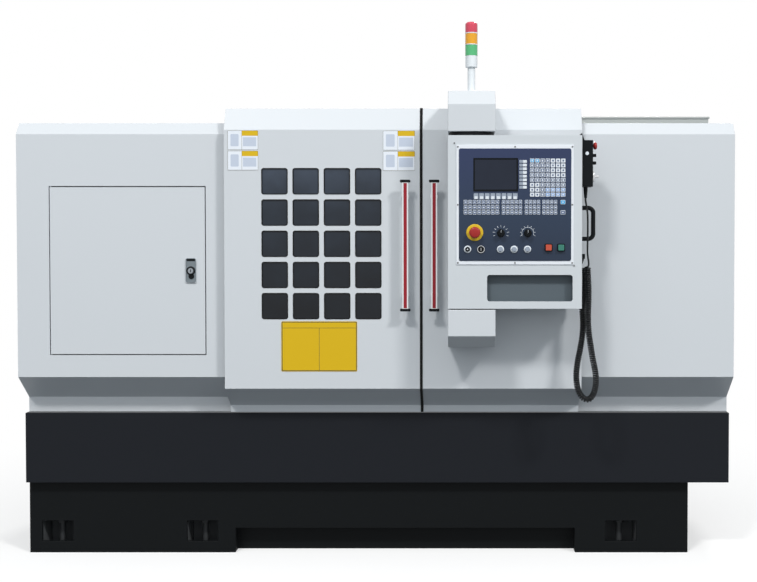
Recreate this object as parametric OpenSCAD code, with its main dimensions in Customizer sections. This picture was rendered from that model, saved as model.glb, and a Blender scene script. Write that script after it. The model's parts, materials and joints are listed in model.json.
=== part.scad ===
// Enclosed flat bed lathe with sliding doors and a swivelling control panel, in millimetres.
// X runs along the spindle to the tailstock, Y away from the operator, Z up from the floor.
// The spindle axis lies over Y = 0, and X = 0 is the middle of the chip tray.

/* [Base] */
// Length of the chip tray, which is the length of the machine
machine_len = 2680; // [2600:10:3000]
// Height of the plinth under the tray
plinth_h = 278; // [240:1:320]
// How much shorter the plinth is than the tray at its right end
plinth_short = 148; // [80:1:220]
// How far the plinth's front stands back from the tray's front
plinth_set = 38; // [20:1:60]
// Thickness of the plinth's plates
plinth_wall = 12; // [8:1:20]
// Height of the chip tray
tray_h = 267; // [240:1:320]
// From the spindle axis to the front of the tray
tray_front = 488; // [470:1:540]
// From the spindle axis to the back of the enclosure
rear_depth = 560; // [550:1:640]
// Thickness of the tray's plates
tray_wall = 4; // [3:0.5:8]
// Width of the rim that carries the covers
rim_w = 48; // [40:1:60]
// Width of a pocket for a levelling jack
pocket_w = 120; // [100:1:140]
// Height of a pocket for a levelling jack
pocket_h = 78; // [60:1:90]
// Height of the long recess at the foot of the plinth
kick_h = 95; // [70:1:110]
// Depth of the long recess
kick_depth = 60; // [30:1:90]

/* [Enclosure] */
// Thickness of the sheet metal
sheet = 3; // [2:0.5:4]
// Height of the covers over the tray
cover_h = 1096; // [1060:1:1180]
// How far the covers' faces stand out from the tray's front
cover_out = 72; // [66:1:78]
// Length of the left cover
left_cover_len = 810; // [800:1:840]
// Length of the right cover
right_cover_len = 600; // [580:1:620]
// Width of the access door in the left cover
access_w = 578; // [480:1:590]
// Height of the access door
access_h = 624; // [500:1:660]
// Gap all round the access door
access_gap = 4; // [4:0.5:6]
// Length of the cable duct on the roof
duct_len = 874; // [600:1:900]

/* [Doors] */
// How far the doors' faces stand out from the tray's front
door_out = 112; // [108:1:124]
// Width of the left door; the right one takes the rest of the opening
left_door_w = 724; // [640:1:760]
// How far the left door laps over the left cover
left_lap = 28; // [20:1:34]
// How far the right door laps over the right cover
right_lap = 26; // [20:1:34]
// Width of the rubber seal between the doors
seal_w = 10; // [6:1:14]
// Height of the doors' tops over the roof
door_rise = 51; // [44:1:60]
// Columns of windows in the left door
window_cols = 4; // [2:1:4]
// Rows of windows
window_rows = 5; // [3:1:5]
// Side of one window
window = 96; // [80:1:100]
// Spacing of the windows
window_pitch = 115.5; // [112:0.5:118]
// Length of a door handle
handle_len = 482; // [380:1:520]
// How far a door handle stands out
handle_out = 54; // [45:1:60]

/* [Control panel] */
// Width of the panel box
panel_w = 475; // [460:1:520]
// Height of the panel box
panel_h = 614; // [600:1:640]
// Depth of the panel box
panel_d = 150; // [140:1:154]
// Space between the panel box and the doors
panel_off = 45; // [44:1:60]
// Width of the swivel brackets
bracket_w = 169; // [150:1:180]
// Side of the control face
face_side = 397; // [395:1:405]
// Height of the tower light's pole
pole_h = 90; // [60:1:160]
// Diameter of the tower light
tower_d = 44; // [36:1:56]

/* [Lathe] */
// Height of the spindle axis over the bed
center_h = 250; // [230:1:270]
// Width of the bed
bed_w = 360; // [340:1:380]
// Height of the bed's ways over the tray's rim
way_rise = 297; // [280:1:320]
// Diameter of the chuck
chuck_d = 250; // [220:1:270]
// Bore through the spindle
spindle_bore = 52; // [40:1:66]
// Diameter of the spindle
spindle_d = 120; // [100:1:130]
// Diameter of the spindle's pulley
spindle_pulley_d = 220; // [200:1:230]
// Diameter of the motor's pulley
motor_pulley_d = 140; // [120:1:160]
// Diameter of the ball screw
screw_d = 40; // [32:1:44]
// Diameter of the tailstock's quill
quill_d = 70; // [60:1:80]
// Diameter of the tailstock's handwheel
wheel_d = 200; // [170:1:230]
// Running clearance between pieces that move
run_gap = 0.3; // [0.2:0.05:0.4]

/* [Hidden] */
$fn = 48;
// How far a cut runs past the face that it opens
over = 1;

// Colours
body_grey = "#d2d6db";
plinth_black = "#1d1f20";
tray_black = "#26282c";
cast_grey = "#7f878c";
steel = "#b6babd";
dark_steel = "#55595c";
motor_black = "#2b2d30";
rubber = "#141414";
face_blue = "#3e485f";
frame_white = "#e9ebec";
key_grey = "#c9cdd2";
safety_red = "#c8281e";
duct_grey = "#cacdcc";

// Levels and main planes
half = machine_len / 2;
tray_top = plinth_h + tray_h;
tray_floor = plinth_h + tray_wall;
roof = tray_top + cover_h;
plinth_x1 = half - plinth_short;
plinth_y0 = plinth_set - tray_front;
plinth_y1 = rear_depth - rim_w;
way_z = tray_top + way_rise;
spindle_z = way_z + center_h;
cover_face = tray_front + cover_out;
door_face = tray_front + door_out;
left_x1 = -half + left_cover_len;
right_x0 = half - right_cover_len;

// Helpers: a run of points set over to its right by t, with mitred corners, and the strip between the two
function unit(v) = v / norm(v);
function right_of(a, b) = let (d = unit(b - a)) [d[1], -d[0]];
function miter(m, n) = (m + n) / (1 + m * n);
function reversed(p) = [for (i = [len(p) - 1:-1:0]) p[i]];
function inset(p, t) = [
    for (i = [0:len(p) - 1])
        let (j = max(i, 1), k = min(i, len(p) - 2))
        p[i] + t * miter(right_of(p[j - 1], p[j]), right_of(p[k], p[k + 1]))
];
function strip(p, t) = concat(p, reversed(inset(p, t)));
// A pair of limits about a middle, and a pair moved along by c
function about(c, w) = [c - w / 2, c + w / 2];
function shifted(c, v) = [c + v[0], c + v[1]];

// Extrudes a drawing of Y and Z along X
module along_x(x0, x1) {
    translate([x0, 0, 0]) rotate([90, 0, 90]) linear_extrude(x1 - x0) children();
}

// Extrudes a drawing of X and Z along Y
module along_y(y0, y1) {
    translate([0, y1, 0]) rotate([90, 0, 0]) linear_extrude(y1 - y0) children();
}

// A block between two values on each axis
module block(x, y, z) {
    translate([x[0], y[0], z[0]]) cube([x[1] - x[0], y[1] - y[0], z[1] - z[0]]);
}

// Round bars along each axis
module rod_x(x0, x1, d, y, z) {
    translate([x0, y, z]) rotate([0, 90, 0]) cylinder(h = x1 - x0, d = d);
}

module rod_y(y0, y1, d, x, z) {
    translate([x, y1, z]) rotate([90, 0, 0]) cylinder(h = y1 - y0, d = d);
}

module rod_z(z0, z1, d, x, y) {
    translate([x, y, z0]) cylinder(h = z1 - z0, d = d);
}

// A revolved shape about the X axis: its drawing has radius across and X upwards
module turned_x(x0, y, z) {
    translate([x0, y, z]) rotate([0, 90, 0]) rotate_extrude() children();
}

// A revolved shape that stands out of the panel's front: radius across and height out upwards
module turned_out(x, y, z) {
    translate([x, y, z]) rotate([90, 0, 0]) rotate_extrude() children();
}

// A rectangle with round corners, about its middle
module round_rect(w, h, r) {
    square([w - 2 * r, h], center = true);
    square([w, h - 2 * r], center = true);
    for (sx = [-1, 1], sy = [-1, 1])
        translate([sx * (w / 2 - r), sy * (h / 2 - r)]) circle(r = r);
}

// Plinth: pockets, kick recess and levelling jacks
jack_from = [108, 665, 258];
jack_x = [jack_from[0] - half, jack_from[1] - half, plinth_x1 - jack_from[2]];
jack_in = 62;
jack_y = [plinth_y0 + jack_in, plinth_y1 - jack_in];
pocket_z = 45;
shelf_z = pocket_z + pocket_h;
shelf_t = 20;
shelf_edge = 20;
shelf_w = pocket_w + 2 * shelf_edge;
shelf_depth = 2 * jack_in;
jack_d = 24;
jack_slack = 1;
jack_pad_d = 80;
jack_pad_h = 16;
pad_slack = 5;
nut_h = 18;
nut_d = 42;
kick_from = [792, 435];
kick_x = [kick_from[0] - half, plinth_x1 - kick_from[1]];

module base_plinth() color(plinth_black) difference() {
    union() {
        difference() {
            block([-half, plinth_x1], [plinth_y0, plinth_y1], [0, plinth_h]);
            block([-half + plinth_wall, plinth_x1 - plinth_wall],
                [plinth_y0 + plinth_wall, plinth_y1 - plinth_wall], [plinth_wall, plinth_h - plinth_wall]);
        }
        block([kick_x[0] - plinth_wall, kick_x[1] + plinth_wall],
            [plinth_y0, plinth_y0 + kick_depth + plinth_wall], [0, kick_h + plinth_wall]);
        for (x = jack_x) {
            block([x - shelf_w / 2, x + shelf_w / 2], [plinth_y0, plinth_y0 + shelf_depth],
                [shelf_z, shelf_z + shelf_t]);
            block([x - shelf_w / 2, x + shelf_w / 2], [plinth_y1 - shelf_depth, plinth_y1],
                [shelf_z, shelf_z + shelf_t]);
        }
    }
    block(kick_x, [plinth_y0 - over, plinth_y0 + kick_depth], [-over, kick_h]);
    for (x = jack_x) {
        block([x - pocket_w / 2, x + pocket_w / 2],
            [plinth_y0 - over, plinth_y0 + plinth_wall + over], [pocket_z, shelf_z]);
        block([x - pocket_w / 2, x + pocket_w / 2],
            [plinth_y1 - plinth_wall - over, plinth_y1 + over], [pocket_z, shelf_z]);
        for (y = jack_y) {
            rod_z(-over, plinth_wall + over, jack_pad_d + 2 * pad_slack, x, y);
            rod_z(shelf_z - over, shelf_z + shelf_t + over, jack_d + 2 * jack_slack, x, y);
        }
    }
}

module leveling_jacks() color(dark_steel) {
    for (x = jack_x, y = jack_y) {
        rod_z(0, jack_pad_h, jack_pad_d, x, y);
        rod_z(jack_pad_h, shelf_z + shelf_t + 2 * nut_h, jack_d, x, y);
        translate([x, y, shelf_z - nut_h]) cylinder(h = nut_h, d = nut_d, $fn = 6);
        translate([x, y, shelf_z + shelf_t]) cylinder(h = nut_h, d = nut_d, $fn = 6);
    }
}

module chip_pan() color(tray_black) difference() {
    block([-half, half], [-tray_front, rear_depth], [plinth_h, tray_top]);
    block([tray_wall - half, half - tray_wall], [tray_wall - tray_front, rear_depth - tray_wall],
        [tray_floor, tray_top - tray_wall]);
    block([rim_w - half, half - rim_w], [rim_w - tray_front, rear_depth - rim_w],
        [tray_floor, tray_top + over]);
}

// Bed: a front prism way and a rear flat way, on two pedestals, with the ball screw's bearing blocks
bed_gap = 27;
bed_z0 = tray_top + bed_gap;
bed_b = bed_w / 2;
bed_lip = 30;
bed_web = bed_b - bed_lip;
lip_drop = 60;
web_drop = 75;
way_w = 70;
vee_h = 22;
vee_y = way_w / 2 - bed_b;
flat_drop = 10;
flat_z = way_z - flat_drop;
trough_deep = 120;
trough_z = way_z - trough_deep;
bed_end = [140, 100];
bed_x = [bed_end[0] - half, half - bed_end[1]];
head_x0 = bed_x[0];
head_len = 600;
head_x1 = head_x0 + head_len;
foot_end = [640, 180];
foot_right = [half - foot_end[0], half - foot_end[1]];
screw_out = 50;
screw_y = -bed_b - screw_out;
screw_drop = 130;
screw_z = way_z - screw_drop;
screw_block = [140, 130];
screw_gap = 20;
screw_x0 = head_x1 + screw_gap;
screw_end = 340;
screw_x1 = half - screw_end;
block_t = 40;
motor_out = 150;
motor_y = bed_b + motor_out;
motor_side = 240;
motor_shelf_t = 30;
motor_shelf_rise = 20;
motor_shelf_z = bed_z0 + motor_shelf_rise;
motor_z = motor_shelf_z + motor_side / 2;
motor_len = 340;
motor_x = [head_x0, head_x0 + motor_len];
rib_t = 20;
rib_foot = 60;

function bed_outline() = [
    [-bed_web, bed_z0], [-bed_web, way_z - web_drop], [-bed_b, way_z - lip_drop], [-bed_b, way_z - vee_h],
    [vee_y - vee_h, way_z - vee_h], [vee_y, way_z], [vee_y + vee_h, way_z - vee_h],
    [way_w - bed_b, way_z - vee_h], [way_w - bed_b, trough_z], [bed_b - way_w, trough_z],
    [bed_b - way_w, flat_z], [bed_b, flat_z], [bed_b, way_z - lip_drop], [bed_web, way_z - web_drop],
    [bed_web, bed_z0]
];

// Cuts the bed's ways out of the foot of what slides or stands on them
module way_fit(x0, x1) {
    slack = run_gap * sqrt(2);
    along_x(x0 - over, x1 + over) polygon([
        [vee_y - vee_h - slack, way_z - vee_h], [vee_y, way_z + slack],
        [vee_y + vee_h + slack, way_z - vee_h]
    ]);
}

module screw_bearing(x0) {
    difference() {
        block([x0, x0 + block_t], [screw_y - screw_block[0] / 2, -bed_web],
            [screw_z - screw_block[1] / 2, screw_z + screw_block[1] / 2]);
        rod_x(x0 - over, x0 + block_t + over, screw_d + 2 * run_gap, screw_y, screw_z);
        block([x0 - over, x0 + block_t + over], [-bed_b - over, -bed_web],
            [way_z - web_drop - over, way_z]);
    }
}

module bed() color(cast_grey) {
    along_x(bed_x[0], bed_x[1]) polygon(bed_outline());
    block([head_x0, head_x1], [-bed_web, bed_web], [tray_floor, bed_z0]);
    block(foot_right, [-bed_web, bed_web], [tray_floor, bed_z0]);
    screw_bearing(screw_x0);
    screw_bearing(screw_x1 - block_t);
    shelf_under = motor_shelf_z - motor_shelf_t;
    block(motor_x, [bed_web, motor_y + motor_side / 2], [shelf_under, motor_shelf_z]);
    for (x = [motor_x[0], motor_x[1] - rib_t])
        along_x(x, x + rib_t) polygon([
            [bed_web, shelf_under], [motor_y + motor_side / 2, shelf_under], [bed_web, tray_floor + rib_foot]
        ]);
}

// Headstock, spindle, chuck and drive
head_over = [20, 40];
head_y = [-bed_b - head_over[0], bed_b + head_over[1]];
head_rise = 210;
head_z1 = spindle_z + head_rise;
head_slope = 60;
cap_t = 20;
cap_edge = 60;
cap_d = spindle_d + 2 * cap_edge;
nose_x = head_x1 + cap_t;
nose_t = 20;
nose_edge = 30;
nose_d = spindle_d + 2 * nose_edge;
pulley_w = 80;
pulley_gap = 10;
pulley_x = head_x0 - pulley_gap - pulley_w;
groove_n = 3;
groove_deep = 12;
groove_w = 18;
belt_gap = run_gap;
chuck_x = nose_x + nose_t;
chuck_len = 100;
chuck_edge = [4, 8];
hole_edge = 9;
chuck_hole = spindle_bore + 2 * hole_edge;
jaw_w = 36;
jaw_in = 36;
jaw_foot = 8;
jaw_step = 25;
jaw_edge = 14;
jaw_out = chuck_d / 2 - jaw_edge;
jaw_sink = 30;
jaw_turn = [90, 210, 330];
motor_shaft_d = 38;
shaft_in = 60;
motor_nose = [10, 25];
motor_foot = [30, 20];
motor_edge = 12;
motor_d = motor_side - 2 * motor_edge;
fin = [8, 28, 10];
motor_box = [120, 110, 45];
motor_box_from = 90;

module headstock() color(cast_grey) difference() {
    union() {
        along_x(head_x0, head_x1) polygon([
            [head_y[0], flat_z], [head_y[0], head_z1 - head_slope],
            [head_y[0] + head_slope, head_z1], [head_y[1] - head_slope, head_z1],
            [head_y[1], head_z1 - head_slope], [head_y[1], flat_z]
        ]);
        rod_x(head_x1, nose_x, cap_d, 0, spindle_z);
    }
    way_fit(head_x0, head_x1);
    rod_x(head_x0 - over, nose_x + over, spindle_d + 2 * run_gap, 0, spindle_z);
}

// Half section of a pulley with V grooves: radius across, width upwards
module pulley_section(d) {
    pitch = pulley_w / groove_n;
    difference() {
        square([d / 2, pulley_w]);
        for (i = [0:groove_n - 1])
            translate([d / 2, pitch * (i + 0.5)])
                polygon([[-groove_deep, -groove_w / 4], [over, -groove_w / 2],
                    [over, groove_w / 2], [-groove_deep, groove_w / 4]]);
    }
}

module spindle() color(steel) difference() {
    union() {
        rod_x(pulley_x, chuck_x, spindle_d, 0, spindle_z);
        rod_x(nose_x + run_gap, chuck_x, nose_d, 0, spindle_z);
        turned_x(pulley_x, 0, spindle_z) pulley_section(spindle_pulley_d);
    }
    rod_x(pulley_x - over, chuck_x + over, spindle_bore, 0, spindle_z);
}

module chuck_body() color(dark_steel) difference() {
    turned_x(chuck_x, 0, spindle_z) polygon([
        [chuck_hole / 2, 0], [chuck_d / 2 - chuck_edge[0], 0], [chuck_d / 2, chuck_edge[0]],
        [chuck_d / 2, chuck_len - chuck_edge[1]], [chuck_d / 2 - chuck_edge[1], chuck_len],
        [chuck_hole / 2, chuck_len]
    ]);
    for (a = jaw_turn)
        translate([0, 0, spindle_z]) rotate([a, 0, 0])
            block([chuck_x + chuck_len - jaw_sink - run_gap, chuck_x + chuck_len + over], [0, chuck_d],
                [-jaw_w / 2 - run_gap, jaw_w / 2 + run_gap]);
}

module chuck_jaw(k) {
    x = chuck_x + chuck_len;
    tread = (jaw_out - jaw_in) / 3;
    color(steel) translate([0, 0, spindle_z]) rotate([jaw_turn[k], 0, 0])
        translate([0, 0, -jaw_w / 2]) linear_extrude(jaw_w) polygon([
            [x - jaw_sink, jaw_in], [x - jaw_sink, jaw_out], [x + jaw_foot, jaw_out],
            [x + jaw_foot, jaw_out - tread], [x + jaw_step, jaw_out - tread],
            [x + jaw_step, jaw_in + tread], [x + 2 * jaw_step, jaw_in + tread],
            [x + 2 * jaw_step, jaw_in]
        ]);
}

module chuck_jaw_1() chuck_jaw(0);
module chuck_jaw_2() chuck_jaw(1);
module chuck_jaw_3() chuck_jaw(2);

module spindle_motor() color(motor_black) difference() {
    union() {
        block([motor_x[0] + motor_foot[0], motor_x[1]], about(motor_y, motor_side),
            [motor_shelf_z, motor_shelf_z + motor_foot[1]]);
        rod_x(motor_x[0] + motor_nose[0], motor_x[1], motor_d, motor_y, motor_z);
        rod_x(motor_x[0], motor_x[0] + motor_nose[1], motor_d - 2 * fin[2], motor_y, motor_z);
        for (x = [motor_x[0] + motor_foot[0] + fin[2]:fin[1]:motor_x[1] - 2 * fin[2]])
            rod_x(x, x + fin[0], motor_d + 2 * fin[2], motor_y, motor_z);
        block([motor_x[0] + motor_box_from, motor_x[0] + motor_box_from + motor_box[0]],
            about(motor_y, motor_box[1]), [motor_z, motor_z + motor_side / 2 + motor_box[2]]);
    }
    rod_x(motor_x[0] - over, motor_x[0] + shaft_in + run_gap, motor_shaft_d + 2 * run_gap, motor_y, motor_z);
}

module motor_pulley() color(steel) {
    turned_x(pulley_x, motor_y, motor_z) pulley_section(motor_pulley_d);
    rod_x(pulley_x + pulley_w, motor_x[0] + shaft_in, motor_shaft_d, motor_y, motor_z);
}

// Outline of a belt's loop round both pulleys, grown by t from the grooves' floors: Y across, Z upwards
module belt_loop(t) {
    r1 = spindle_pulley_d / 2 - groove_deep + t;
    r2 = motor_pulley_d / 2 - groove_deep + t;
    span = [motor_y, motor_z - spindle_z];
    lean = atan2(span[1], span[0]);
    wrap = acos((r1 - r2) / norm(span));
    translate([0, spindle_z]) circle(r = r1, $fn = 96);
    translate([motor_y, motor_z]) circle(r = r2, $fn = 96);
    polygon([for (q = [[1, 0], [1, 1], [-1, 1], [-1, 0]])
        let (a = lean + q[0] * wrap, r = q[1] == 0 ? r1 : r2)
        [q[1] * motor_y + r * cos(a), spindle_z + q[1] * span[1] + r * sin(a)]]);
}

module drive_belts() color(rubber) {
    pitch = pulley_w / groove_n;
    belt_w = groove_w / 2 - 2 * belt_gap;
    for (i = [0:groove_n - 1]) {
        x = pulley_x + pitch * (i + 0.5);
        along_x(x - belt_w / 2, x + belt_w / 2) difference() {
            belt_loop(groove_deep);
            belt_loop(belt_gap);
        }
    }
}

// Feed drive along the bed
servo_side = 116;
servo_len = 190;
servo_flange = [12, 4];
servo_cap = [40, 8];
plug_back = [30, 75];
plug_h = [34, 26];
plug_d = [22, 28];

// A square plate along X about its axis
module square_x(x0, x1, side) {
    translate([x0, -side / 2, -side / 2]) cube([x1 - x0, side, side]);
}

// A feed motor along X from its flange, with its two plugs
module servo(len) {
    square_x(0, servo_flange[0], servo_side + 2 * servo_flange[1]);
    square_x(0, len - servo_cap[0], servo_side);
    square_x(len - servo_cap[0], len, servo_side - 2 * servo_cap[1]);
    translate([len - plug_back[0], 0, servo_side / 2 - servo_cap[1]]) cylinder(h = plug_h[0], d = plug_d[0]);
    translate([len - plug_back[1], 0, servo_side / 2]) cylinder(h = plug_h[1], d = plug_d[1]);
}

module z_servo_motor() color(motor_black) translate([screw_x1, screw_y, screw_z]) servo(servo_len);

module z_ball_screw() color(steel) {
    rod_x(screw_x0, screw_x1 - run_gap, screw_d, screw_y, screw_z);
}

// Saddle, cross slide and tool turret
saddle_c = 180;
saddle_len = 400;
saddle_x = [saddle_c - saddle_len / 2, saddle_c + saddle_len / 2];
saddle_z0 = flat_z + run_gap;
saddle_h = 70;
saddle_z1 = way_z + saddle_h;
saddle_over = 20;
saddle_y = bed_b + saddle_over;
slide_way_front = 100;
rear_room = 40;
slide_way_y = [-bed_b - slide_way_front, rear_depth - rear_room - servo_len];
slide_way_w = 200;
slide_way_h = 50;
servo_plate_t = 20;
dove_h = 25;
dove_top = 160;
dove_foot = 120;
apron_gap = 2;
apron_in = 40;
apron_out = 40;
apron_under = 45;
slide_w = 220;
slide_front = 90;
slide_len = 380;
slide_y = [-bed_b - slide_front, -bed_b - slide_front + slide_len];
slide_h = 55;
slide_z0 = saddle_z1 + run_gap;
slide_z1 = saddle_z1 + slide_h;
turret_in = 80;
turret_y = slide_y[0] + turret_in;
turret_side = 130;
seat_edge = 10;
seat_h = 30;
seat_z1 = slide_z1 + seat_h;
turret_z0 = seat_z1 + run_gap;
turret_over = 25;
turret_z1 = spindle_z + turret_over;
turret_knob = [60, 26];
clamp_pitch = 36;
clamp_bolt = [12, 42];
tool_side = 20;
tool_slot = 24;
tool_len = 140;
tool_tip = 20;
tool_reach = 65;

// Section of the dovetail in X and Z, grown by t on its flanks and top
function dovetail(t) = [
    [saddle_c - dove_foot / 2 - t, saddle_z1 - over], [saddle_c - dove_foot / 2 - t, saddle_z1],
    [saddle_c - dove_top / 2 - t, saddle_z1 + dove_h + t],
    [saddle_c + dove_top / 2 + t, saddle_z1 + dove_h + t],
    [saddle_c + dove_foot / 2 + t, saddle_z1], [saddle_c + dove_foot / 2 + t, saddle_z1 - over]
];

module saddle() color(cast_grey) difference() {
    union() {
        block(saddle_x, [-saddle_y, saddle_y], [saddle_z0, saddle_z1]);
        block(about(saddle_c, slide_way_w), slide_way_y, [saddle_z1 - slide_way_h, saddle_z1]);
        along_y(slide_way_y[0], slide_way_y[1]) polygon(dovetail(0));
        block(about(saddle_c, servo_side), [slide_way_y[1] - servo_plate_t, slide_way_y[1]],
            [saddle_z1 - servo_side, saddle_z1 + dove_h]);
        block([saddle_x[0] + apron_in, saddle_x[1] - apron_in], [screw_y - apron_out, -bed_b - apron_gap],
            [screw_z - apron_under, way_z + saddle_h / 2]);
    }
    way_fit(saddle_x[0], saddle_x[1]);
    rod_x(saddle_x[0], saddle_x[1], screw_d + 2 * run_gap, screw_y, screw_z);
}

module x_servo_motor() color(motor_black) {
    translate([saddle_c, slide_way_y[1], saddle_z1 - servo_side / 2])
        rotate([0, 0, 90]) servo(servo_len);
}

module cross_slide() color(cast_grey) difference() {
    union() {
        block(about(saddle_c, slide_w), slide_y, [slide_z0, slide_z1]);
        rod_z(slide_z1, seat_z1, turret_side + 2 * seat_edge, saddle_c, turret_y);
    }
    along_y(slide_y[0] - over, slide_y[1] + over) polygon(dovetail(run_gap));
}

// Repeats its child on the four sides of the turret
module turret_sides() {
    translate([saddle_c, turret_y, 0]) for (a = [0:90:270]) rotate([0, 0, a]) children();
}

module tool_turret() color(steel) {
    difference() {
        block(about(saddle_c, turret_side), about(turret_y, turret_side),
            [turret_z0, turret_z1]);
        turret_sides() translate([turret_side / 2 - tool_slot, -turret_side, spindle_z - tool_side])
            cube([tool_slot + over, 2 * turret_side, tool_slot]);
    }
    rod_z(turret_z1, turret_z1 + turret_knob[1], turret_knob[0], saddle_c, turret_y);
    turret_sides() for (k = [-1:1])
        translate([turret_side / 2 - tool_slot / 2, k * clamp_pitch, spindle_z])
            cylinder(h = clamp_bolt[1], d = clamp_bolt[0]);
}

module turning_tools() color(dark_steel) {
    turret_sides() translate([turret_side / 2 - tool_slot, turret_side / 2 + tool_reach - tool_len,
        spindle_z - tool_side]) {
        cube([tool_side, tool_len - tool_tip, tool_side]);
        translate([0, tool_len - tool_tip, 0]) linear_extrude(tool_side)
            polygon([[0, 0], [tool_side, 0], [tool_side, 0.6 * tool_tip], [tool_side / 2, tool_tip]]);
    }
}

// Tailstock
tail_end = 280;
tail_len = 300;
tail_x = [half - tail_end - tail_len, half - tail_end];
tail_in = 20;
tail_y = bed_b - tail_in;
tail_base_h = 70;
tail_base_z = way_z + tail_base_h;
tail_neck = 150;
tail_flare = 40;
tail_wall = 50;
tail_d = quill_d + 2 * tail_wall;
clamp_pin = [26, 40, 60];
quill_out = 70;
quill_edge = 5;
quill_back = 50;
quill_x0 = tail_x[0] - quill_out;
quill_x1 = tail_x[1] - quill_back;
tip_len = 70;
tip_cone = 38;
tip_d = 44;
wheel_shaft_d = 30;
wheel_gap = 2;
wheel_rim = 22;
wheel_out = 50;
wheel_x = tail_x[1] + wheel_out;
hub = [56, 20];
spoke_d = 16;
crank = [22, 75];

module tailstock() color(cast_grey) difference() {
    union() {
        block(tail_x, [-tail_y, tail_y], [saddle_z0, tail_base_z]);
        along_x(tail_x[0] + tail_in, tail_x[1] - tail_in) polygon([
            [-tail_neck / 2 - tail_flare, tail_base_z], [-tail_neck / 2, spindle_z],
            [tail_neck / 2, spindle_z], [tail_neck / 2 + tail_flare, tail_base_z]
        ]);
        rod_x(tail_x[0], tail_x[1], tail_d, 0, spindle_z);
        rod_z(spindle_z + quill_d / 2 + tail_wall / 2, spindle_z + tail_d / 2 + clamp_pin[1], clamp_pin[0],
            tail_x[0] + clamp_pin[2], 0);
    }
    way_fit(tail_x[0], tail_x[1]);
    rod_x(tail_x[0] - over, quill_x1 + run_gap, quill_d + 2 * run_gap, 0, spindle_z);
    rod_x(quill_x1, tail_x[1] + over, wheel_shaft_d + 2 * run_gap, 0, spindle_z);
}

module quill() color(steel) {
    turned_x(quill_x0, 0, spindle_z) polygon([
        [0, 0], [quill_d / 2 - quill_edge, 0], [quill_d / 2, quill_edge], [quill_d / 2, quill_x1 - quill_x0],
        [0, quill_x1 - quill_x0]
    ]);
}

module tailstock_center() color(dark_steel) {
    turned_x(quill_x0 - tip_len, 0, spindle_z)
        polygon([[0, 0], [tip_d / 2, tip_cone], [tip_d / 2, tip_len], [0, tip_len]]);
}

module tailstock_handwheel() color(dark_steel) {
    rim_r = (wheel_d - wheel_rim) / 2;
    rod_x(quill_x1 + wheel_gap, tail_x[1] + run_gap, wheel_shaft_d, 0, spindle_z);
    rod_x(tail_x[1] + run_gap, wheel_x + hub[1], hub[0], 0, spindle_z);
    turned_x(wheel_x, 0, spindle_z) translate([rim_r, 0]) circle(d = wheel_rim);
    for (a = [0:120:240])
        translate([wheel_x, 0, spindle_z]) rotate([a, 0, 0]) cylinder(h = rim_r, d = spoke_d);
    rod_x(wheel_x, wheel_x + crank[1], crank[0], 0, spindle_z + rim_r);
}

// Section of a cover: skirt, chamfer, face, top band, roof and back
skirt_back = 44;
cover_skirt_h = 56;
cover_chamfer_h = 89;
cover_band_h = 44;
cover_band_set = 35;

function cover_front(z0) = [
    [skirt_back - tray_front, z0], [skirt_back - tray_front, tray_top + cover_skirt_h],
    [-cover_face, tray_top + cover_skirt_h + cover_chamfer_h], [-cover_face, roof - cover_band_h],
    [cover_band_set - cover_face, roof]
];
function cover_outline(z0) = concat(cover_front(z0), [[rear_depth, roof], [rear_depth, z0]]);

module cover_shell(x0, x1) {
    difference() {
        along_x(x0, x1) polygon(cover_outline(tray_top));
        along_x(x0 + sheet, x1 - sheet) polygon(inset(cover_outline(tray_top - over), sheet));
    }
}

// Access door in the left cover, hung on two pins in the folded edge of its opening
access_end = 108;
access_rise = 231;
access_x = [left_x1 - access_end - access_w, left_x1 - access_end];
access_z = [tray_top + access_rise, tray_top + access_rise + access_h];
access_fold = 15;
pin_d = 4;
pin_in = 2;
pin_back = 4;
latch_in = 52;
latch_x = access_x[1] - latch_in;
latch_z = (access_z[0] + access_z[1]) / 2;
latch_plate = [37, 90];
latch_plate_t = 4;
latch_d = 22;
latch_head = [28, 6];
cam = [20, 4];
cam_gap = 2;
cam_reach = 72;

// The part of the left cover's inner end wall that is left open for the bed and headstock
bay_gap = 20;
bay_y = [head_y[0] - bay_gap, head_y[1] + bay_gap];
bay_z1 = head_z1 + bay_gap;

module left_cover() color(body_grey) {
    gap_x = access_x + access_gap * [-1, 1];
    gap_z = access_z + access_gap * [-1, 1];
    difference() {
        union() {
            cover_shell(-half, left_x1);
            block(gap_x + sheet * [-1, 1], [-cover_face, access_fold - cover_face], gap_z + sheet * [-1, 1]);
        }
        block(gap_x, [-cover_face - over, access_fold + over - cover_face], gap_z);
        rod_z(gap_z[0] - sheet - over, gap_z[1] + sheet + over, pin_d + 2 * run_gap,
            access_x[0] + pin_in, pin_back - cover_face);
        block([left_x1 - sheet - over, left_x1 + over], bay_y, [tray_top - over, bay_z1]);
        block([left_x1 - sheet - over, left_x1 + over], [screw_y - screw_block[0] / 2, bay_y[0] + over],
            [tray_top - over, screw_z + screw_block[1] / 2]);
    }
}

module access_door() color(body_grey) {
    fold = access_fold;
    difference() {
        union() {
            difference() {
                block(access_x, [-cover_face, fold - cover_face], access_z);
                block(access_x + sheet * [1, -1], [sheet - cover_face, fold + over - cover_face],
                    access_z + sheet * [1, -1]);
            }
            rod_z(access_z[0] - access_gap - sheet, access_z[1] + access_gap + sheet, pin_d,
                access_x[0] + pin_in, pin_back - cover_face);
            block(about(latch_x, latch_plate[0]), [-cover_face - latch_plate_t, -cover_face],
                about(latch_z, latch_plate[1]));
        }
        rod_y(-cover_face - latch_plate_t - over, sheet + over - cover_face, latch_d + 2 * run_gap,
            latch_x, latch_z);
    }
}

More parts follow.
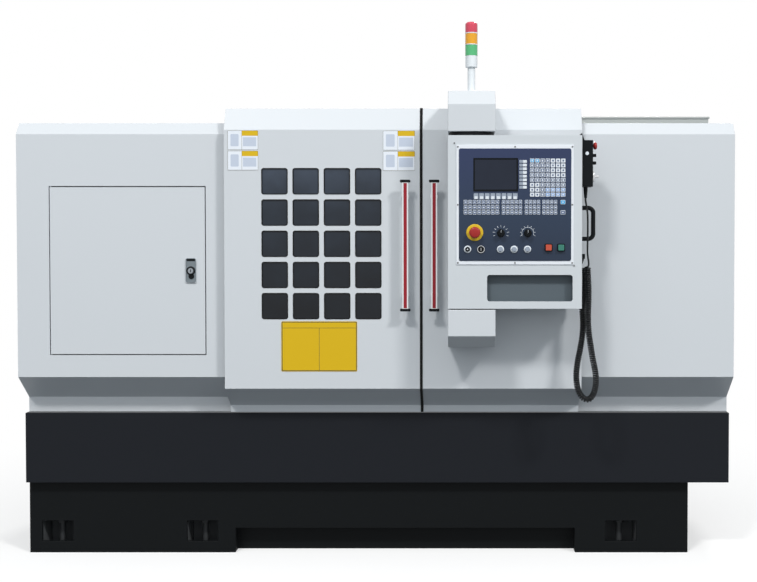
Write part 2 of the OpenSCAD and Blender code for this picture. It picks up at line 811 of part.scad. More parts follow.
module access_latch() color(steel) {
    cam_y = access_fold + cam_gap - cover_face;
    plate_y = -cover_face - latch_plate_t;
    rod_y(plate_y - latch_head[1], plate_y - run_gap, latch_head[0], latch_x, latch_z);
    rod_y(plate_y - run_gap, cam_y, latch_d, latch_x, latch_z);
    block(about(latch_x, cam[0]), [cam_y, cam_y + cam[1]], [latch_z - latch_d / 2, latch_z + cam_reach]);
}

module right_cover() color(body_grey) difference() {
    cover_shell(right_x0, half);
    along_x(right_x0 - over, right_x0 + sheet + over)
        polygon(inset(cover_outline(tray_top - over), sheet));
}

guard_hem = 40;

module rear_guard() color(body_grey) {
    along_x(left_x1, right_x0) polygon(strip([
        [cover_band_set - cover_face, roof - guard_hem], [cover_band_set - cover_face, roof],
        [rear_depth, roof], [rear_depth, tray_top]
    ], sheet));
}

duct_end = 46;
duct_x = [half - duct_end - duct_len, half - duct_end];
duct_w = 60;
duct_set = 218;
duct_y = about(duct_set - tray_front, duct_w);
duct_h = 47;
duct_lid = [8, 4];

module cable_duct() color(duct_grey) {
    lid_z = roof + duct_h - duct_lid[0];
    block(duct_x, duct_y, [roof, lid_z]);
    block(duct_x + duct_lid[1] * [-1, 1], duct_y + duct_lid[1] * [-1, 1], [lid_z, roof + duct_h]);
}

// Door rails: a bar under the doors on the tray's rim, and a guide on the roof, out of sight from the front
rail_h = 3;
rail_in = 6;
rail_w = 18;
rail_y = [rail_in - tray_front, rail_in + rail_w - tray_front];
guide_h = 10;
guide_in = 112;
guide_w = 10;
guide_y = shifted(cover_band_set - cover_face, [guide_in, guide_in + guide_w]);
rail_end = 10;
rail_x = [rail_end - half, half - rail_end];

module door_rails() color(steel) {
    block(rail_x, rail_y, [tray_top, tray_top + rail_h]);
    block(rail_x, guide_y, [roof, roof + guide_h]);
}

// Section of a door: foot, skirt, chamfer, face, top band, top and the lip behind the guide
left_door_x = [left_x1 - left_lap, left_x1 - left_lap + left_door_w];
right_door_x = [left_door_x[1] + seal_w, right_x0 + right_lap];
door_z0 = tray_top + rail_h + run_gap;
door_z1 = roof + door_rise;
door_skirt_in = 4;
door_skirt_y = door_skirt_in - tray_front;
door_skirt_h = 29;
door_skirt_z = tray_top + door_skirt_h;
door_chamfer_h = 77;
door_face_z0 = door_skirt_z + door_chamfer_h;
door_band_h = 82;
door_band_z = door_z1 - door_band_h;
door_band_set = 40;
lip_y = guide_y[1] + run_gap + sheet;
lip_gap = 5;
door_side_gap = 20;
guide_room = [4, 3];

function door_front() = [
    [door_skirt_y, door_z0], [door_skirt_y, door_skirt_z], [-door_face, door_face_z0],
    [-door_face, door_band_z], [door_band_set - door_face, door_z1], [lip_y, door_z1]
];

module door_shell(x) {
    guide_z = roof + guide_h + guide_room[1];
    side = concat(door_front(), [[lip_y, guide_z], [guide_y[0] - guide_room[0], guide_z]],
        reversed(inset(cover_front(door_z0), -door_side_gap)));
    along_x(x[0], x[1])
        polygon(strip(concat([[rail_y[1], door_z0]], door_front(), [[lip_y, roof + lip_gap]]), sheet));
    along_x(x[0], x[0] + sheet) polygon(side);
    along_x(x[1] - sheet, x[1]) polygon(side);
}

// Windows: a grid of openings about this middle, with one tinted pane behind
window_from = 360;
window_x = left_door_x[0] + window_from;
window_rise = 644;
window_z = tray_top + window_rise;
window_r = 8;
pane_edge = 15;
pane_t = 5;
pane_w = (window_cols - 1) * window_pitch + window + 2 * pane_edge;
pane_h = (window_rows - 1) * window_pitch + window + 2 * pane_edge;

module left_door() color(body_grey) difference() {
    door_shell(left_door_x);
    along_y(-door_face - over, sheet + over - door_face)
        for (i = [0:window_cols - 1], j = [0:window_rows - 1])
            translate([window_x + (i - (window_cols - 1) / 2) * window_pitch,
                window_z + (j - (window_rows - 1) / 2) * window_pitch])
                round_rect(window, window, window_r);
}

module window_pane() color("#343a42") {
    block(about(window_x, pane_w), [sheet - door_face, sheet + pane_t - door_face],
        about(window_z, pane_h));
}

seal_out = 2;
seal_in = 8;

module door_seal() color(rubber) {
    along_x(left_door_x[1], left_door_x[1] + seal_w - run_gap)
        polygon(strip(inset(door_front(), -seal_out), sheet + seal_in));
}

module right_door() color(body_grey) door_shell(right_door_x);

// Door handles: a flat bar between two black end blocks
handle_rise = 637;
handle_z = tray_top + handle_rise;
handle_w = 22;
handle_t = 14;
handle_cap = [38, 10];
handle_foot = 60;
handle_post_d = 16;
handle_rose = [30, 6];
handle_in = [52, 44];

module door_handle(x) {
    z = about(handle_z, handle_len);
    y = [-door_face - handle_out, handle_t - door_face - handle_out];
    color(frame_white) block(about(x, handle_w), y, z + handle_cap[1] * [1, -1]);
    for (s = [0, 1]) {
        cap = s == 0 ? [z[0], z[0] + handle_cap[1]] : [z[1] - handle_cap[1], z[1]];
        foot = s == 0 ? z[0] + handle_foot : z[1] - handle_foot;
        block(about(x, handle_cap[0]), y, cap);
        rod_y(y[1], -door_face, handle_post_d, x, foot);
        rod_y(-door_face - handle_rose[1], -door_face, handle_rose[0], x, foot);
    }
}

module left_door_handle() door_handle(left_door_x[1] - handle_in[0]);
module right_door_handle() door_handle(right_door_x[0] + handle_in[1]);

// Control panel on its swivel brackets
panel_in = 95;
panel_x0 = right_door_x[0] + panel_in;
panel_x = [panel_x0, panel_x0 + panel_w];
panel_y = [-door_face - panel_off - panel_d, -door_face - panel_off];
panel_rise = 414;
panel_z0 = tray_top + panel_rise;
panel_z = [panel_z0, panel_z0 + panel_h];
swivel_from = 85;
swivel_x = panel_x0 + swivel_from;
swivel_y = (panel_y[0] + panel_y[1]) / 2;
swivel_d = 40;
swivel_in = 30;
pad_in = 3;
pad_d = 140;
pad_r = 60;
pad_h = 14;
low_pad_h = 4;
bracket_x = [panel_x0, panel_x0 + bracket_w];
bracket_z0 = panel_z[1] + pad_h;
bracket_h = 150;
bracket_over = 40;
bracket_z1 = max(bracket_z0 + bracket_h, door_z1 + bracket_over);
bracket_slope = [60, 53];
bracket_on = 46;
bracket_back = door_band_set + bracket_on - door_face;
low_bracket_z1 = panel_z[0] - low_pad_h;
low_bracket_h = 138;
low_bracket_z0 = low_bracket_z1 - low_bracket_h;
low_slope = [60, 44];

module panel_brackets() color(body_grey) {
    front = panel_y[0];
    along_x(bracket_x[0], bracket_x[1]) polygon([
        [front, bracket_z0], [front, bracket_z1 - bracket_slope[1]], [front + bracket_slope[0], bracket_z1],
        [bracket_back, bracket_z1], [bracket_back, door_z1], [door_band_set - door_face, door_z1],
        [-door_face, door_band_z], [-door_face, bracket_z0]
    ]);
    along_x(bracket_x[0], bracket_x[1]) polygon([
        [front, low_bracket_z1], [front, low_bracket_z0 + low_slope[1]],
        [front + low_slope[0], low_bracket_z0],
        [-door_face, low_bracket_z0], [-door_face, low_bracket_z1]
    ]);
    rod_z(panel_z[1] - swivel_in, bracket_z0, swivel_d, swivel_x, swivel_y);
    rod_z(low_bracket_z1, panel_z[0] + swivel_in, swivel_d, swivel_x, swivel_y);
}

// Slide pads round the two swivel pins, between the brackets and the panel box
module swivel_pads() color(rubber)
    for (z = [[panel_z[1] + run_gap, bracket_z0], [low_bracket_z1, panel_z[0] - run_gap]])
        translate([0, 0, z[0]]) linear_extrude(z[1] - z[0]) difference() {
            translate([(bracket_x[0] + bracket_x[1]) / 2, swivel_y])
                round_rect(bracket_w - 2 * pad_in, pad_d, pad_r);
            translate([swivel_x, swivel_y]) circle(d = swivel_d);
        }

// Tower light on the upper bracket
tower_out = 40;
tower_y = -door_face - tower_out;
tower_base = [52, 6];
pole_d = 28;
lens_h = 38;
ring_h = 4;
ring_d = tower_d + 2;
lamp_h = 42;
lens_wall = 4;
dome = [8, 6];
core_d = 12;
lens_z0 = bracket_z1 + tower_base[1] + pole_h + lamp_h;

module tower_light() color(frame_white) translate([swivel_x, tower_y, 0]) {
    rod_z(bracket_z1, bracket_z1 + tower_base[1], tower_base[0], 0, 0);
    rod_z(bracket_z1, bracket_z1 + tower_base[1] + pole_h, pole_d, 0, 0);
    rod_z(lens_z0 - lamp_h, lens_z0, tower_d, 0, 0);
    rod_z(lens_z0, lens_z0 + 2 * (lens_h + ring_h) + lens_h / 2, core_d, 0, 0);
    for (i = [1, 2]) rod_z(lens_z0 + i * (lens_h + ring_h) - ring_h, lens_z0 + i * (lens_h + ring_h),
        ring_d, 0, 0);
}

module tower_lenses() {
    step = lens_h + ring_h;
    for (i = [0:1]) color(["#2fa84f", "#f0a020"][i]) translate([swivel_x, tower_y, lens_z0 + i * step])
        rotate_extrude() translate([tower_d / 2 - lens_wall, 0]) square([lens_wall, lens_h]);
    color(safety_red) translate([swivel_x, tower_y, lens_z0 + 2 * step]) rotate_extrude() {
        translate([tower_d / 2 - lens_wall, 0]) square([lens_wall, lens_h - dome[0]]);
        polygon([[0, lens_h - dome[0]], [tower_d / 2, lens_h - dome[0]], [tower_d / 2 - dome[1], lens_h],
            [0, lens_h]]);
    }
}

// Panel box with its recessed pocket
pocket_from = [139, 33];
pocket_x = [panel_x[0] + pocket_from[0], panel_x[1] - pocket_from[1]];
pocket_rise = [26, 120];
pocket_zz = shifted(panel_z[0], pocket_rise);
pocket_r = 9;
pocket_deep = 30;

module panel_box() color(body_grey) difference() {
    block(panel_x, panel_y, panel_z);
    along_y(panel_y[0] - over, panel_y[0] + pocket_deep)
        translate([(pocket_x[0] + pocket_x[1]) / 2, (pocket_zz[0] + pocket_zz[1]) / 2])
            round_rect(pocket_x[1] - pocket_x[0], pocket_zz[1] - pocket_zz[0], pocket_r);
    rod_z(panel_z[1] - swivel_in - run_gap, panel_z[1] + over, swivel_d + 2 * run_gap, swivel_x, swivel_y);
    rod_z(panel_z[0] - over, panel_z[0] + swivel_in + run_gap, swivel_d + 2 * run_gap, swivel_x, swivel_y);
    for (c = switch_places)
        rod_y(panel_y[0] - over, panel_y[0] + stem_in + press + stem_room, c[2] + 2 * run_gap,
        face_x0 + c[0], face_z0 + c[1]);
}

// Control frame and face, with places measured from the face's lower left corner
frame_t = 3;
face_t = 2;
frame_edge = [9, 13];
face_in = 39;
face_rise = 170;
face_r = 7;
face_x0 = panel_x[0] + face_in;
face_z0 = panel_z[0] + face_rise;
face_y = panel_y[0] - frame_t - face_t;
screen = [[51, 209], [245, 363]];
screen_deep = 1;

module control_frame() color(frame_white) difference() {
    block([face_x0 - frame_edge[0], face_x0 + face_side + frame_edge[0]], [panel_y[0] - frame_t, panel_y[0]],
        [face_z0 - frame_edge[1], face_z0 + face_side + frame_edge[1]]);
    for (c = switch_places) rod_y(panel_y[0] - frame_t - over, panel_y[0] + over, c[2] + 2 * run_gap,
        face_x0 + c[0], face_z0 + c[1]);
}

// Switches on the face: place across, place up and the diameter of the stem through the face
stem_d = 16;
stop_place = [56, 100, stem_d];
feed_place = [148.5, 98, stem_d];
speed_place = [243.7, 98, stem_d];
red_place = [317, 47, stem_d];
green_place = [361, 47, stem_d];
switch_places = [stop_place, feed_place, speed_place, red_place, green_place];
button_places = [[30.6, 41], [78, 41], [147, 41], [195, 41], [242.6, 41]];
button_d = 26;
button_out = 9;
press = 6;

module control_face() color(face_blue) difference() {
    along_y(face_y, face_y + face_t) translate([face_x0 + face_side / 2, face_z0 + face_side / 2])
        round_rect(face_side, face_side, face_r);
    block(shifted(face_x0, screen[0]), [face_y - over, face_y + screen_deep], shifted(face_z0, screen[1]));
    for (c = switch_places) rod_y(face_y - over, face_y + face_t + over, c[2] + 2 * run_gap,
        face_x0 + c[0], face_z0 + c[1]);
}

// Keys: each group has its left and right edge, its lower and upper edge, columns and rows
key_groups = [
    [52, 207, 218, 239, 8, 1], [213, 240, 255, 356, 1, 8], [251, 376, 227, 361, 7, 8],
    [17, 142, 200, 215, 8, 1], [152, 223, 200, 215, 5, 1], [233, 287, 200, 215, 4, 1],
    [295, 347, 200, 215, 4, 1], [17, 142, 164, 196, 8, 2], [152, 223, 164, 196, 5, 2],
    [233, 287, 164, 196, 4, 2], [295, 347, 164, 196, 4, 2]
];
key_gap = 3;
key_t = 1.5;

module keypad() color(key_grey) for (g = key_groups) {
    w = (g[1] - g[0] + key_gap) / g[4];
    h = (g[3] - g[2] + key_gap) / g[5];
    for (i = [0:g[4] - 1], j = [0:g[5] - 1])
        translate([face_x0 + g[0] + i * w, face_y - key_t, face_z0 + g[2] + j * h])
            cube([w - key_gap, key_t, h - key_gap]);
}

// A switch's stem, from its cap at this height over the face into its hole in the panel box
stem_in = 6;
stem_room = 2;

module stem(c, out) {
    rod_y(face_y - run_gap - out, panel_y[0] + stem_in, c[2], face_x0 + c[0], face_z0 + c[1]);
}

stop_ring_d = [30, 60];
stop_ring_t = 3;

module stop_ring() color("#e6b81e")
    turned_out(face_x0 + stop_place[0], face_y, face_z0 + stop_place[1]) polygon([
        [stop_ring_d[0] / 2, 0], [stop_ring_d[1] / 2, 0], [stop_ring_d[1] / 2, stop_ring_t / 2],
        [(stop_ring_d[1] - stop_ring_t) / 2, stop_ring_t], [stop_ring_d[0] / 2, stop_ring_t]
    ]);

module e_stop_button() color(safety_red) {
    turned_out(face_x0 + stop_place[0], face_y - press - run_gap, face_z0 + stop_place[1])
        polygon([[0, 0], [14, 0], [14, 8], [20, 12], [20, 18], [16, 22], [0, 24]]);
    stem(stop_place, press);
}

module knob(c) {
    turned_out(face_x0 + c[0], face_y - run_gap, face_z0 + c[1])
        polygon([[0, 0], [14, 0], [14, 3], [12, 5], [11.5, 18], [10, 20], [0, 20]]);
    translate([face_x0 + c[0] - 2, face_y - run_gap - 22, face_z0 + c[1] - 11]) cube([4, 22, 22]);
    stem(c, 0);
}

module feed_knob() color(rubber) knob(feed_place);
module spindle_knob() color(rubber) knob(speed_place);

module push_button(c) {
    turned_out(face_x0 + c[0], face_y - press - run_gap, face_z0 + c[1])
        polygon([[0, 0], [10.5, 0], [11, 1], [11, 5], [10, 6], [0, 6]]);
    stem(c, press);
}

module start_button() color("#2fa84f") push_button(green_place);
module stop_button() color(safety_red) push_button(red_place);

module function_buttons() color(key_grey) {
    for (b = button_places) turned_out(face_x0 + b[0], face_y, face_z0 + b[1])
        polygon([[0, 0], [button_d / 2, 0], [button_d / 2, 2], [button_d / 2 - 2.5, 4],
            [button_d / 2 - 2.5, button_out], [0, button_out]]);
}

// Things on the right side of the panel: handle, pendant, gland and the curly cord between them
side_x = panel_x[1];
grip_from = [105, 304];
grip_y = panel_y[0] + grip_from[0];
grip_z = panel_z[0] + grip_from[1];
grip_span = 112;
grip_out = 51;
grip_d = 16;
grip_bend = 18;
grip_rose = [24, 6];

module side_handle() color(rubber) {
    for (s = [-1, 1]) {
        z = grip_z + s * grip_span / 2;
        rod_x(side_x, side_x + grip_out - grip_bend, grip_d, grip_y, z);
        rod_x(side_x, side_x + grip_rose[1], grip_rose[0], grip_y, z);
        translate([side_x + grip_out - grip_bend, grip_y, z - s * grip_bend]) rotate([90, 0, 0])
            rotate([0, 0, s > 0 ? 0 : -90]) rotate_extrude(angle = 90)
                translate([grip_bend, 0]) circle(d = grip_d);
    }
    rod_z(grip_z - grip_span / 2 + grip_bend, grip_z + grip_span / 2 - grip_bend, grip_d,
        side_x + grip_out, grip_y);
}

pendant_t = 38;
pendant_w = 80;
pendant_from = [65, 434];
pendant_c = panel_y[0] + pendant_from[0];
pendant_y = about(pendant_c, pendant_w);
pendant_h = 165;
pendant_z = shifted(panel_z[0] + pendant_from[1], [0, pendant_h]);
hook_t = 3;
hook_foot = 12;
hook_w = 60;
hook_rise = 25;
hook_h = 130;
hook_z = [pendant_z[1] + hook_rise - hook_h, pendant_z[1] + hook_rise];
pendant_stop_in = 18;
pendant_stop_z = pendant_z[1] - pendant_stop_in;
pendant_wheel_in = 38;
pendant_wheel_z = pendant_z[0] + pendant_wheel_in;
pendant_knob_in = [52, 79];
pendant_knob = [12, 14];
pointer = [3, 2, 10];
pulse_d = 40;
pulse_t = 9;
pulse_knob = [9, 18];
pulse_throw = 13;
axle_d = 10;
axle_in = 10;
relief_h = 40;
relief_from = 16;
lead_d = 7;
relief_d = [lead_d + 3, lead_d + 9];
pendant_x1 = side_x + hook_t + pendant_t;

module pendant() color(motor_black) difference() {
    union() {
        block([side_x, side_x + hook_t], about(pendant_c, hook_w), hook_z);
        along_y(pendant_c - hook_w / 2, pendant_c + hook_w / 2) polygon([
            [side_x, pendant_z[1]], [side_x + hook_foot, pendant_z[1]], [side_x + hook_t, hook_z[1]],
            [side_x, hook_z[1]]
        ]);
        block([side_x + hook_t, pendant_x1], pendant_y, pendant_z);
        for (d = pendant_knob_in) {
            knob_x1 = pendant_x1 + pendant_knob[1];
            rod_x(pendant_x1, knob_x1, pendant_knob[0], pendant_c, pendant_z[1] - d);
            block([knob_x1, knob_x1 + pointer[1]], about(pendant_c, pointer[0]),
                about(pendant_z[1] - d, pointer[2]));
        }
        translate([side_x + hook_t + relief_from, pendant_c, pendant_z[0] - relief_h])
            cylinder(h = relief_h, d1 = relief_d[0], d2 = relief_d[1]);
    }
    for (z = [pendant_stop_z, pendant_wheel_z])
        rod_x(pendant_x1 - axle_in, pendant_x1 + over, axle_d + 2 * run_gap, pendant_c, z);
}

module pendant_stop() color(safety_red) {
    rod_x(pendant_x1 - 4, pendant_x1 + 5, axle_d, pendant_c, pendant_stop_z);
    turned_x(pendant_x1 + 5, pendant_c, pendant_stop_z)
        polygon([[0, 0], [8, 0], [13, 4], [13, 9], [10, 13], [0, 13]]);
}

module pendant_handwheel() color(dark_steel) {
    rod_x(pendant_x1 - 8, pendant_x1 + run_gap, axle_d, pendant_c, pendant_wheel_z);
    turned_x(pendant_x1 + run_gap, pendant_c, pendant_wheel_z) polygon([
        [0, 0], [pulse_d / 2 - 2, 0], [pulse_d / 2, 2], [pulse_d / 2, pulse_t - 2],
        [pulse_d / 2 - 2, pulse_t], [0, pulse_t]
    ]);
    rod_x(pendant_x1 + pulse_t, pendant_x1 + pulse_t + pulse_knob[1], pulse_knob[0],
        pendant_c + pulse_throw, pendant_wheel_z);
}

// Route of the cord: down from the gland, through the curly part, and up to the pendant
cord_from = [side_x, panel_y[0], panel_z[0]];
gland_lead = [for (p = [
    [12, 97, 167.5], [12, 97, 164.5], [13.5, 97, 160.5], [15, 97, 156.5], [15, 97, 153]
]) cord_from + p];
curl_route = [for (p = [
    [15, 97, 153], [15, 97, 147], [17.5, 97, 135], [20, 97, 120], [21, 97, 99], [19.5, 97, 63], [16.5, 97, 27],
    [13.5, 97, 2],
    [12, 97, -17], [13.5, 96, -39], [14, 95, -64], [12, 93, -100], [5, 91, -144], [-4.5, 89, -191],
    [-10, 87, -231], [-10.2, 85, -263], [-6, 84, -292], [3, 82, -314], [15.5, 81, -328.5], [28, 80, -333],
    [40, 78, -328], [51, 76, -311.5], [57, 74, -289.5], [59, 72, -261], [56, 70, -228], [47.5, 68, -189],
    [39.5, 66, -142], [33, 65, -98.5], [29.5, 64, -62.5], [29, 63, -16], [30.5, 63, 28], [30.5, 63, 64],
    [29, 63, 100], [27.5, 63, 130], [26.5, 63, 150], [26.5, 63, 158]
]) cord_from + p];
pendant_lead = [for (p = [
    [26.5, 63, 158], [26.5, 63, 166], [26, 63, 190], [26.8, 63, 244], [27, 63, 298], [26, 63.5, 340],
    [22, 64.5, 368], [19, 65, 386], [19, 65, 394]
]) cord_from + p];
curl_d = 24;
gland = [20, 18, 18];
gland_h = 8;

// Direction of a route at one of its points
function heading(p, i) = unit(p[min(i + 1, len(p) - 1)] - p[max(i - 1, 0)]);

// A tube swept along a route that never runs along Y, with n sides
module tube(p, d, n) {
    rings = [for (i = [0:len(p) - 1])
        let (t = heading(p, i), u = unit(cross([0, 1, 0], t)), v = cross(t, u))
        for (k = [0:n - 1]) p[i] + d / 2 * (cos(360 * k / n) * u + sin(360 * k / n) * v)];
    walls = [for (i = [0:len(p) - 2], k = [0:n - 1])
        let (m = (k + 1) % n)
        [i * n + k, (i + 1) * n + k, (i + 1) * n + m, i * n + m]];
    start = [for (k = [0:n - 1]) k];
    end = [for (k = [n - 1:-1:0]) (len(p) - 1) * n + k];
    polyhedron(points = rings, faces = concat([start], walls, [end]), convexity = 4);
}

module cord_glands() color(rubber) {
    at = gland_lead[0];
    block([side_x, side_x + gland[0]], about(at[1], gland[1]), [at[2] + gland_h, at[2] + gland_h + gland[2]]);
    translate(at) cylinder(h = gland_h, d1 = lead_d + 1, d2 = lead_d + 4);
}

module cord_leads() color(rubber) {
    tube(gland_lead, lead_d, 8);
    tube(pendant_lead, lead_d, 8);
}

module curly_cord() color(rubber) tube(curl_route, curl_d, 10);

// Electrical cabinet on the back, with its hinged door and drive modules
cabinet_w = 1000;
cabinet_h = 1000;
cabinet_d = 300;
cabinet_end = 440;
cabinet_drop = 53;
cabinet_x = [half - cabinet_end - cabinet_w, half - cabinet_end];
cabinet_y = [rear_depth, rear_depth + cabinet_d];
cabinet_z = [tray_top - cabinet_drop, tray_top - cabinet_drop + cabinet_h];
cabinet_mid = (cabinet_z[0] + cabinet_z[1]) / 2;
cabinet_door_t = 20;
hinge_out = 7;
hinge_x = cabinet_x[1] + hinge_out;
hinge_y = cabinet_y[1] + cabinet_door_t / 2;
hinge_in = 150;
hinge_z = [cabinet_z[0] + hinge_in, cabinet_z[1] - hinge_in];
lug_d = 12;
lug_y = [30, 4];
knuckle_h = 40;
lug_h = 20;
hinge_pin_d = 6;
lock_in = 50;
lock_rose = [34, 8];
lever = [18, 18];
lever_z = [-70, 20];
module_n = 4;
module_in = 100;
module_gap = 30;
module_d = 190;
module_z = [380, 760];
vent_in = 15;
vent_z = 420;
vent = [4, 14, 30];
vent_n = 6;
terminal_in = 60;
terminal_d = 60;
terminal_z = [120, 300];

module electrical_cabinet() color(body_grey) {
    difference() {
        block(cabinet_x, cabinet_y, cabinet_z);
        block(cabinet_x + sheet * [1, -1], cabinet_y + [sheet, over], cabinet_z + sheet * [1, -1]);
    }
    for (z = hinge_z) {
        rod_z(z - lug_h, z, lug_d, hinge_x, hinge_y);
        block(about(hinge_x, lug_d), [cabinet_y[1] - lug_y[0], hinge_y], [z - lug_h, z]);
        block([cabinet_x[1], hinge_x], [cabinet_y[1] - lug_y[0], cabinet_y[1] - lug_y[1]], [z - lug_h, z]);
        rod_z(z, z + knuckle_h, hinge_pin_d, hinge_x, hinge_y);
    }
}

module cabinet_door() color(body_grey) {
    y = [cabinet_y[1] + run_gap, cabinet_y[1] + cabinet_door_t];
    difference() {
        block(cabinet_x, y, cabinet_z);
        block(cabinet_x + sheet * [1, -1], y + [-over, -sheet], cabinet_z + sheet * [1, -1]);
    }
    for (z = hinge_z) difference() {
        union() {
            rod_z(z + run_gap, z + knuckle_h, lug_d, hinge_x, hinge_y);
            block([cabinet_x[1] - sheet, hinge_x], [hinge_y, hinge_y + lug_d / 2],
                [z + run_gap, z + knuckle_h]);
        }
        rod_z(z - over, z + knuckle_h + over, hinge_pin_d + 2 * run_gap, hinge_x, hinge_y);
    }
    lock_x = cabinet_x[0] + lock_in;
    rod_y(y[1], y[1] + lock_rose[1], lock_rose[0], lock_x, cabinet_mid);
    block(about(lock_x, lever[0]), shifted(y[1] + lock_rose[1], [0, lever[1]]),
        shifted(cabinet_mid, lever_z));
}

module drive_modules() color(key_grey) {
    pitch = (cabinet_w - 2 * module_in) / module_n;
    y0 = cabinet_y[0] + sheet;
    for (i = [0:module_n - 1]) {
        x = cabinet_x[0] + module_in + i * pitch;
        block([x, x + pitch - module_gap], [y0, y0 + module_d], shifted(cabinet_z[0], module_z));
        for (k = [0:vent_n - 1])
            block([x + vent_in, x + pitch - module_gap - vent_in], shifted(y0 + module_d, [0, vent[0]]),
                shifted(cabinet_z[0] + vent_z + k * vent[2], [0, vent[1]]));
    }
    block(cabinet_x + terminal_in * [1, -1], [y0, y0 + terminal_d], shifted(cabinet_z[0], terminal_z));
}

base_plinth();
chip_pan();
leveling_jacks();
bed();
headstock();
left_cover();
right_cover();
rear_guard();
door_rails();
electrical_cabinet();
cable_duct();
spindle_motor();
drive_belts();
z_servo_motor();
drive_modules();
cabinet_door();
spindle();
chuck_body();
chuck_jaw_1();
chuck_jaw_2();
chuck_jaw_3();
motor_pulley();
z_ball_screw();
saddle();
x_servo_motor();
cross_slide();
tool_turret();
turning_tools();
tailstock();
quill();
tailstock_center();
tailstock_handwheel();
access_door();
access_latch();
left_door();
window_pane();
left_door_handle();
door_seal();
right_door();
right_door_handle();
panel_brackets();
swivel_pads();
tower_light();
tower_lenses();
panel_box();
control_frame();
control_face();
keypad();
stop_ring();
e_stop_button();
feed_knob();
spindle_knob();
start_button();
stop_button();
function_buttons();
side_handle();
pendant();
pendant_stop();
pendant_handwheel();
cord_glands();
cord_leads();
curly_cord();
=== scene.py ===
import json
import math

import bmesh
import bpy
from mathutils import Matrix, Vector


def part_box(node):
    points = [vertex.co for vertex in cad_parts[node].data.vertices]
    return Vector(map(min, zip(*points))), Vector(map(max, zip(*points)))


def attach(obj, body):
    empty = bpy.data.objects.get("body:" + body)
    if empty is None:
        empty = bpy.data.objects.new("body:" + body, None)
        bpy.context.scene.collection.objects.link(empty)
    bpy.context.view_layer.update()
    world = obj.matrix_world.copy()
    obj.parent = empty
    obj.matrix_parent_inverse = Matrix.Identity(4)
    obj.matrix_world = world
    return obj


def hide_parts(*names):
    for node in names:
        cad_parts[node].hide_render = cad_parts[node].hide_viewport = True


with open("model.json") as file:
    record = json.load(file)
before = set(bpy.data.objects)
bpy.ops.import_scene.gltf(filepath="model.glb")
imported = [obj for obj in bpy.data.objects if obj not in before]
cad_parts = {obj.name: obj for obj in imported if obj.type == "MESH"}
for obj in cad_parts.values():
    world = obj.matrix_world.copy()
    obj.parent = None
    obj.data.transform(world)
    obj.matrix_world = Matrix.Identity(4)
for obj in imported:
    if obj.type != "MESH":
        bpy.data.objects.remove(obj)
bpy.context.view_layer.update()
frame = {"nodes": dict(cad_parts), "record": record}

scene = bpy.context.scene
scene.view_settings.view_transform = "Standard"

# View: the operator's side from a little under eye height, with the optical axis right of the middle.
# The camera leans forward by a degree and a half.
camera = bpy.data.objects.new("camera", bpy.data.cameras.new("camera"))
camera.data.lens = 57.8
camera.data.sensor_width = 36
camera.data.shift_x = -0.101
camera.data.shift_y = -0.0254
camera.location = (0.296, -5.1, 1.203)
camera.rotation_euler = (math.radians(90 - 1.5), 0, 0)
scene.collection.objects.link(camera)
scene.camera = camera

# Studio: two lamps far off in front, high on the left and further out on the right, and a weaker one behind.
# A dome that is brighter in front fills their shadows.
# The floor and the dome are white to the eye and in reflections, and throw little light back up.
lit_point = Vector((0.1, -0.5, 0.9))
for name, power, place in (
    ("left_key", 1340, (-4.8, -12.0, 13.7)), ("right_key", 1880, (10.3, -12.0, 13.7)),
    ("back_fill", 1250, (2.5, 15.0, 8.5)),
):
    lamp = bpy.data.lights.new(name, "AREA")
    lamp.shape = "RECTANGLE"
    lamp.size = 2.6
    lamp.size_y = 1.8
    lamp.energy = power
    lamp.color = (1.0, 0.99, 0.975)
    key = bpy.data.objects.new(name, lamp)
    key.location = place
    key.rotation_euler = (lit_point - key.location).to_track_quat("-Z", "Y").to_euler()
    scene.collection.objects.link(key)


def seen_or_not(tree, seen, unseen):
    """Gives one shader to the eye, mirrors and glass, and another to the light that falls on other things."""
    path = tree.nodes.new("ShaderNodeLightPath")
    either = path.outputs["Is Camera Ray"]
    for ray in ("Is Glossy Ray", "Is Transmission Ray"):
        most = tree.nodes.new("ShaderNodeMath")
        most.operation = "MAXIMUM"
        tree.links.new(either, most.inputs[0])
        tree.links.new(path.outputs[ray], most.inputs[1])
        either = most.outputs[0]
    mix = tree.nodes.new("ShaderNodeMixShader")
    tree.links.new(either, mix.inputs[0])
    tree.links.new(unseen, mix.inputs[1])
    tree.links.new(seen, mix.inputs[2])
    return mix.outputs[0]


world = bpy.data.worlds.new("studio")
scene.world = world
world.use_nodes = True
tree = world.node_tree
tree.nodes.clear()
white = tree.nodes.new("ShaderNodeBackground")
white.inputs["Color"].default_value = (1, 1, 1, 1)
dome = tree.nodes.new("ShaderNodeBackground")
dome.inputs["Color"].default_value = (0.905, 0.958, 1.0, 1)
coords = tree.nodes.new("ShaderNodeTexCoord")
facing = tree.nodes.new("ShaderNodeVectorMath")
facing.operation = "DOT_PRODUCT"
facing.inputs[1].default_value = (0, -0.94, 0.34)
rise = tree.nodes.new("ShaderNodeMapRange")
rise.inputs["To Min"].default_value = 0.18
rise.inputs["To Max"].default_value = 1.08
out = tree.nodes.new("ShaderNodeOutputWorld")
for a, b in ((coords.outputs["Generated"], facing.inputs[0]), (facing.outputs["Value"], rise.inputs["Value"]),
             (rise.outputs[0], dome.inputs["Strength"])):
    tree.links.new(a, b)
tree.links.new(seen_or_not(tree, white.outputs[0], dome.outputs[0]), out.inputs["Surface"])

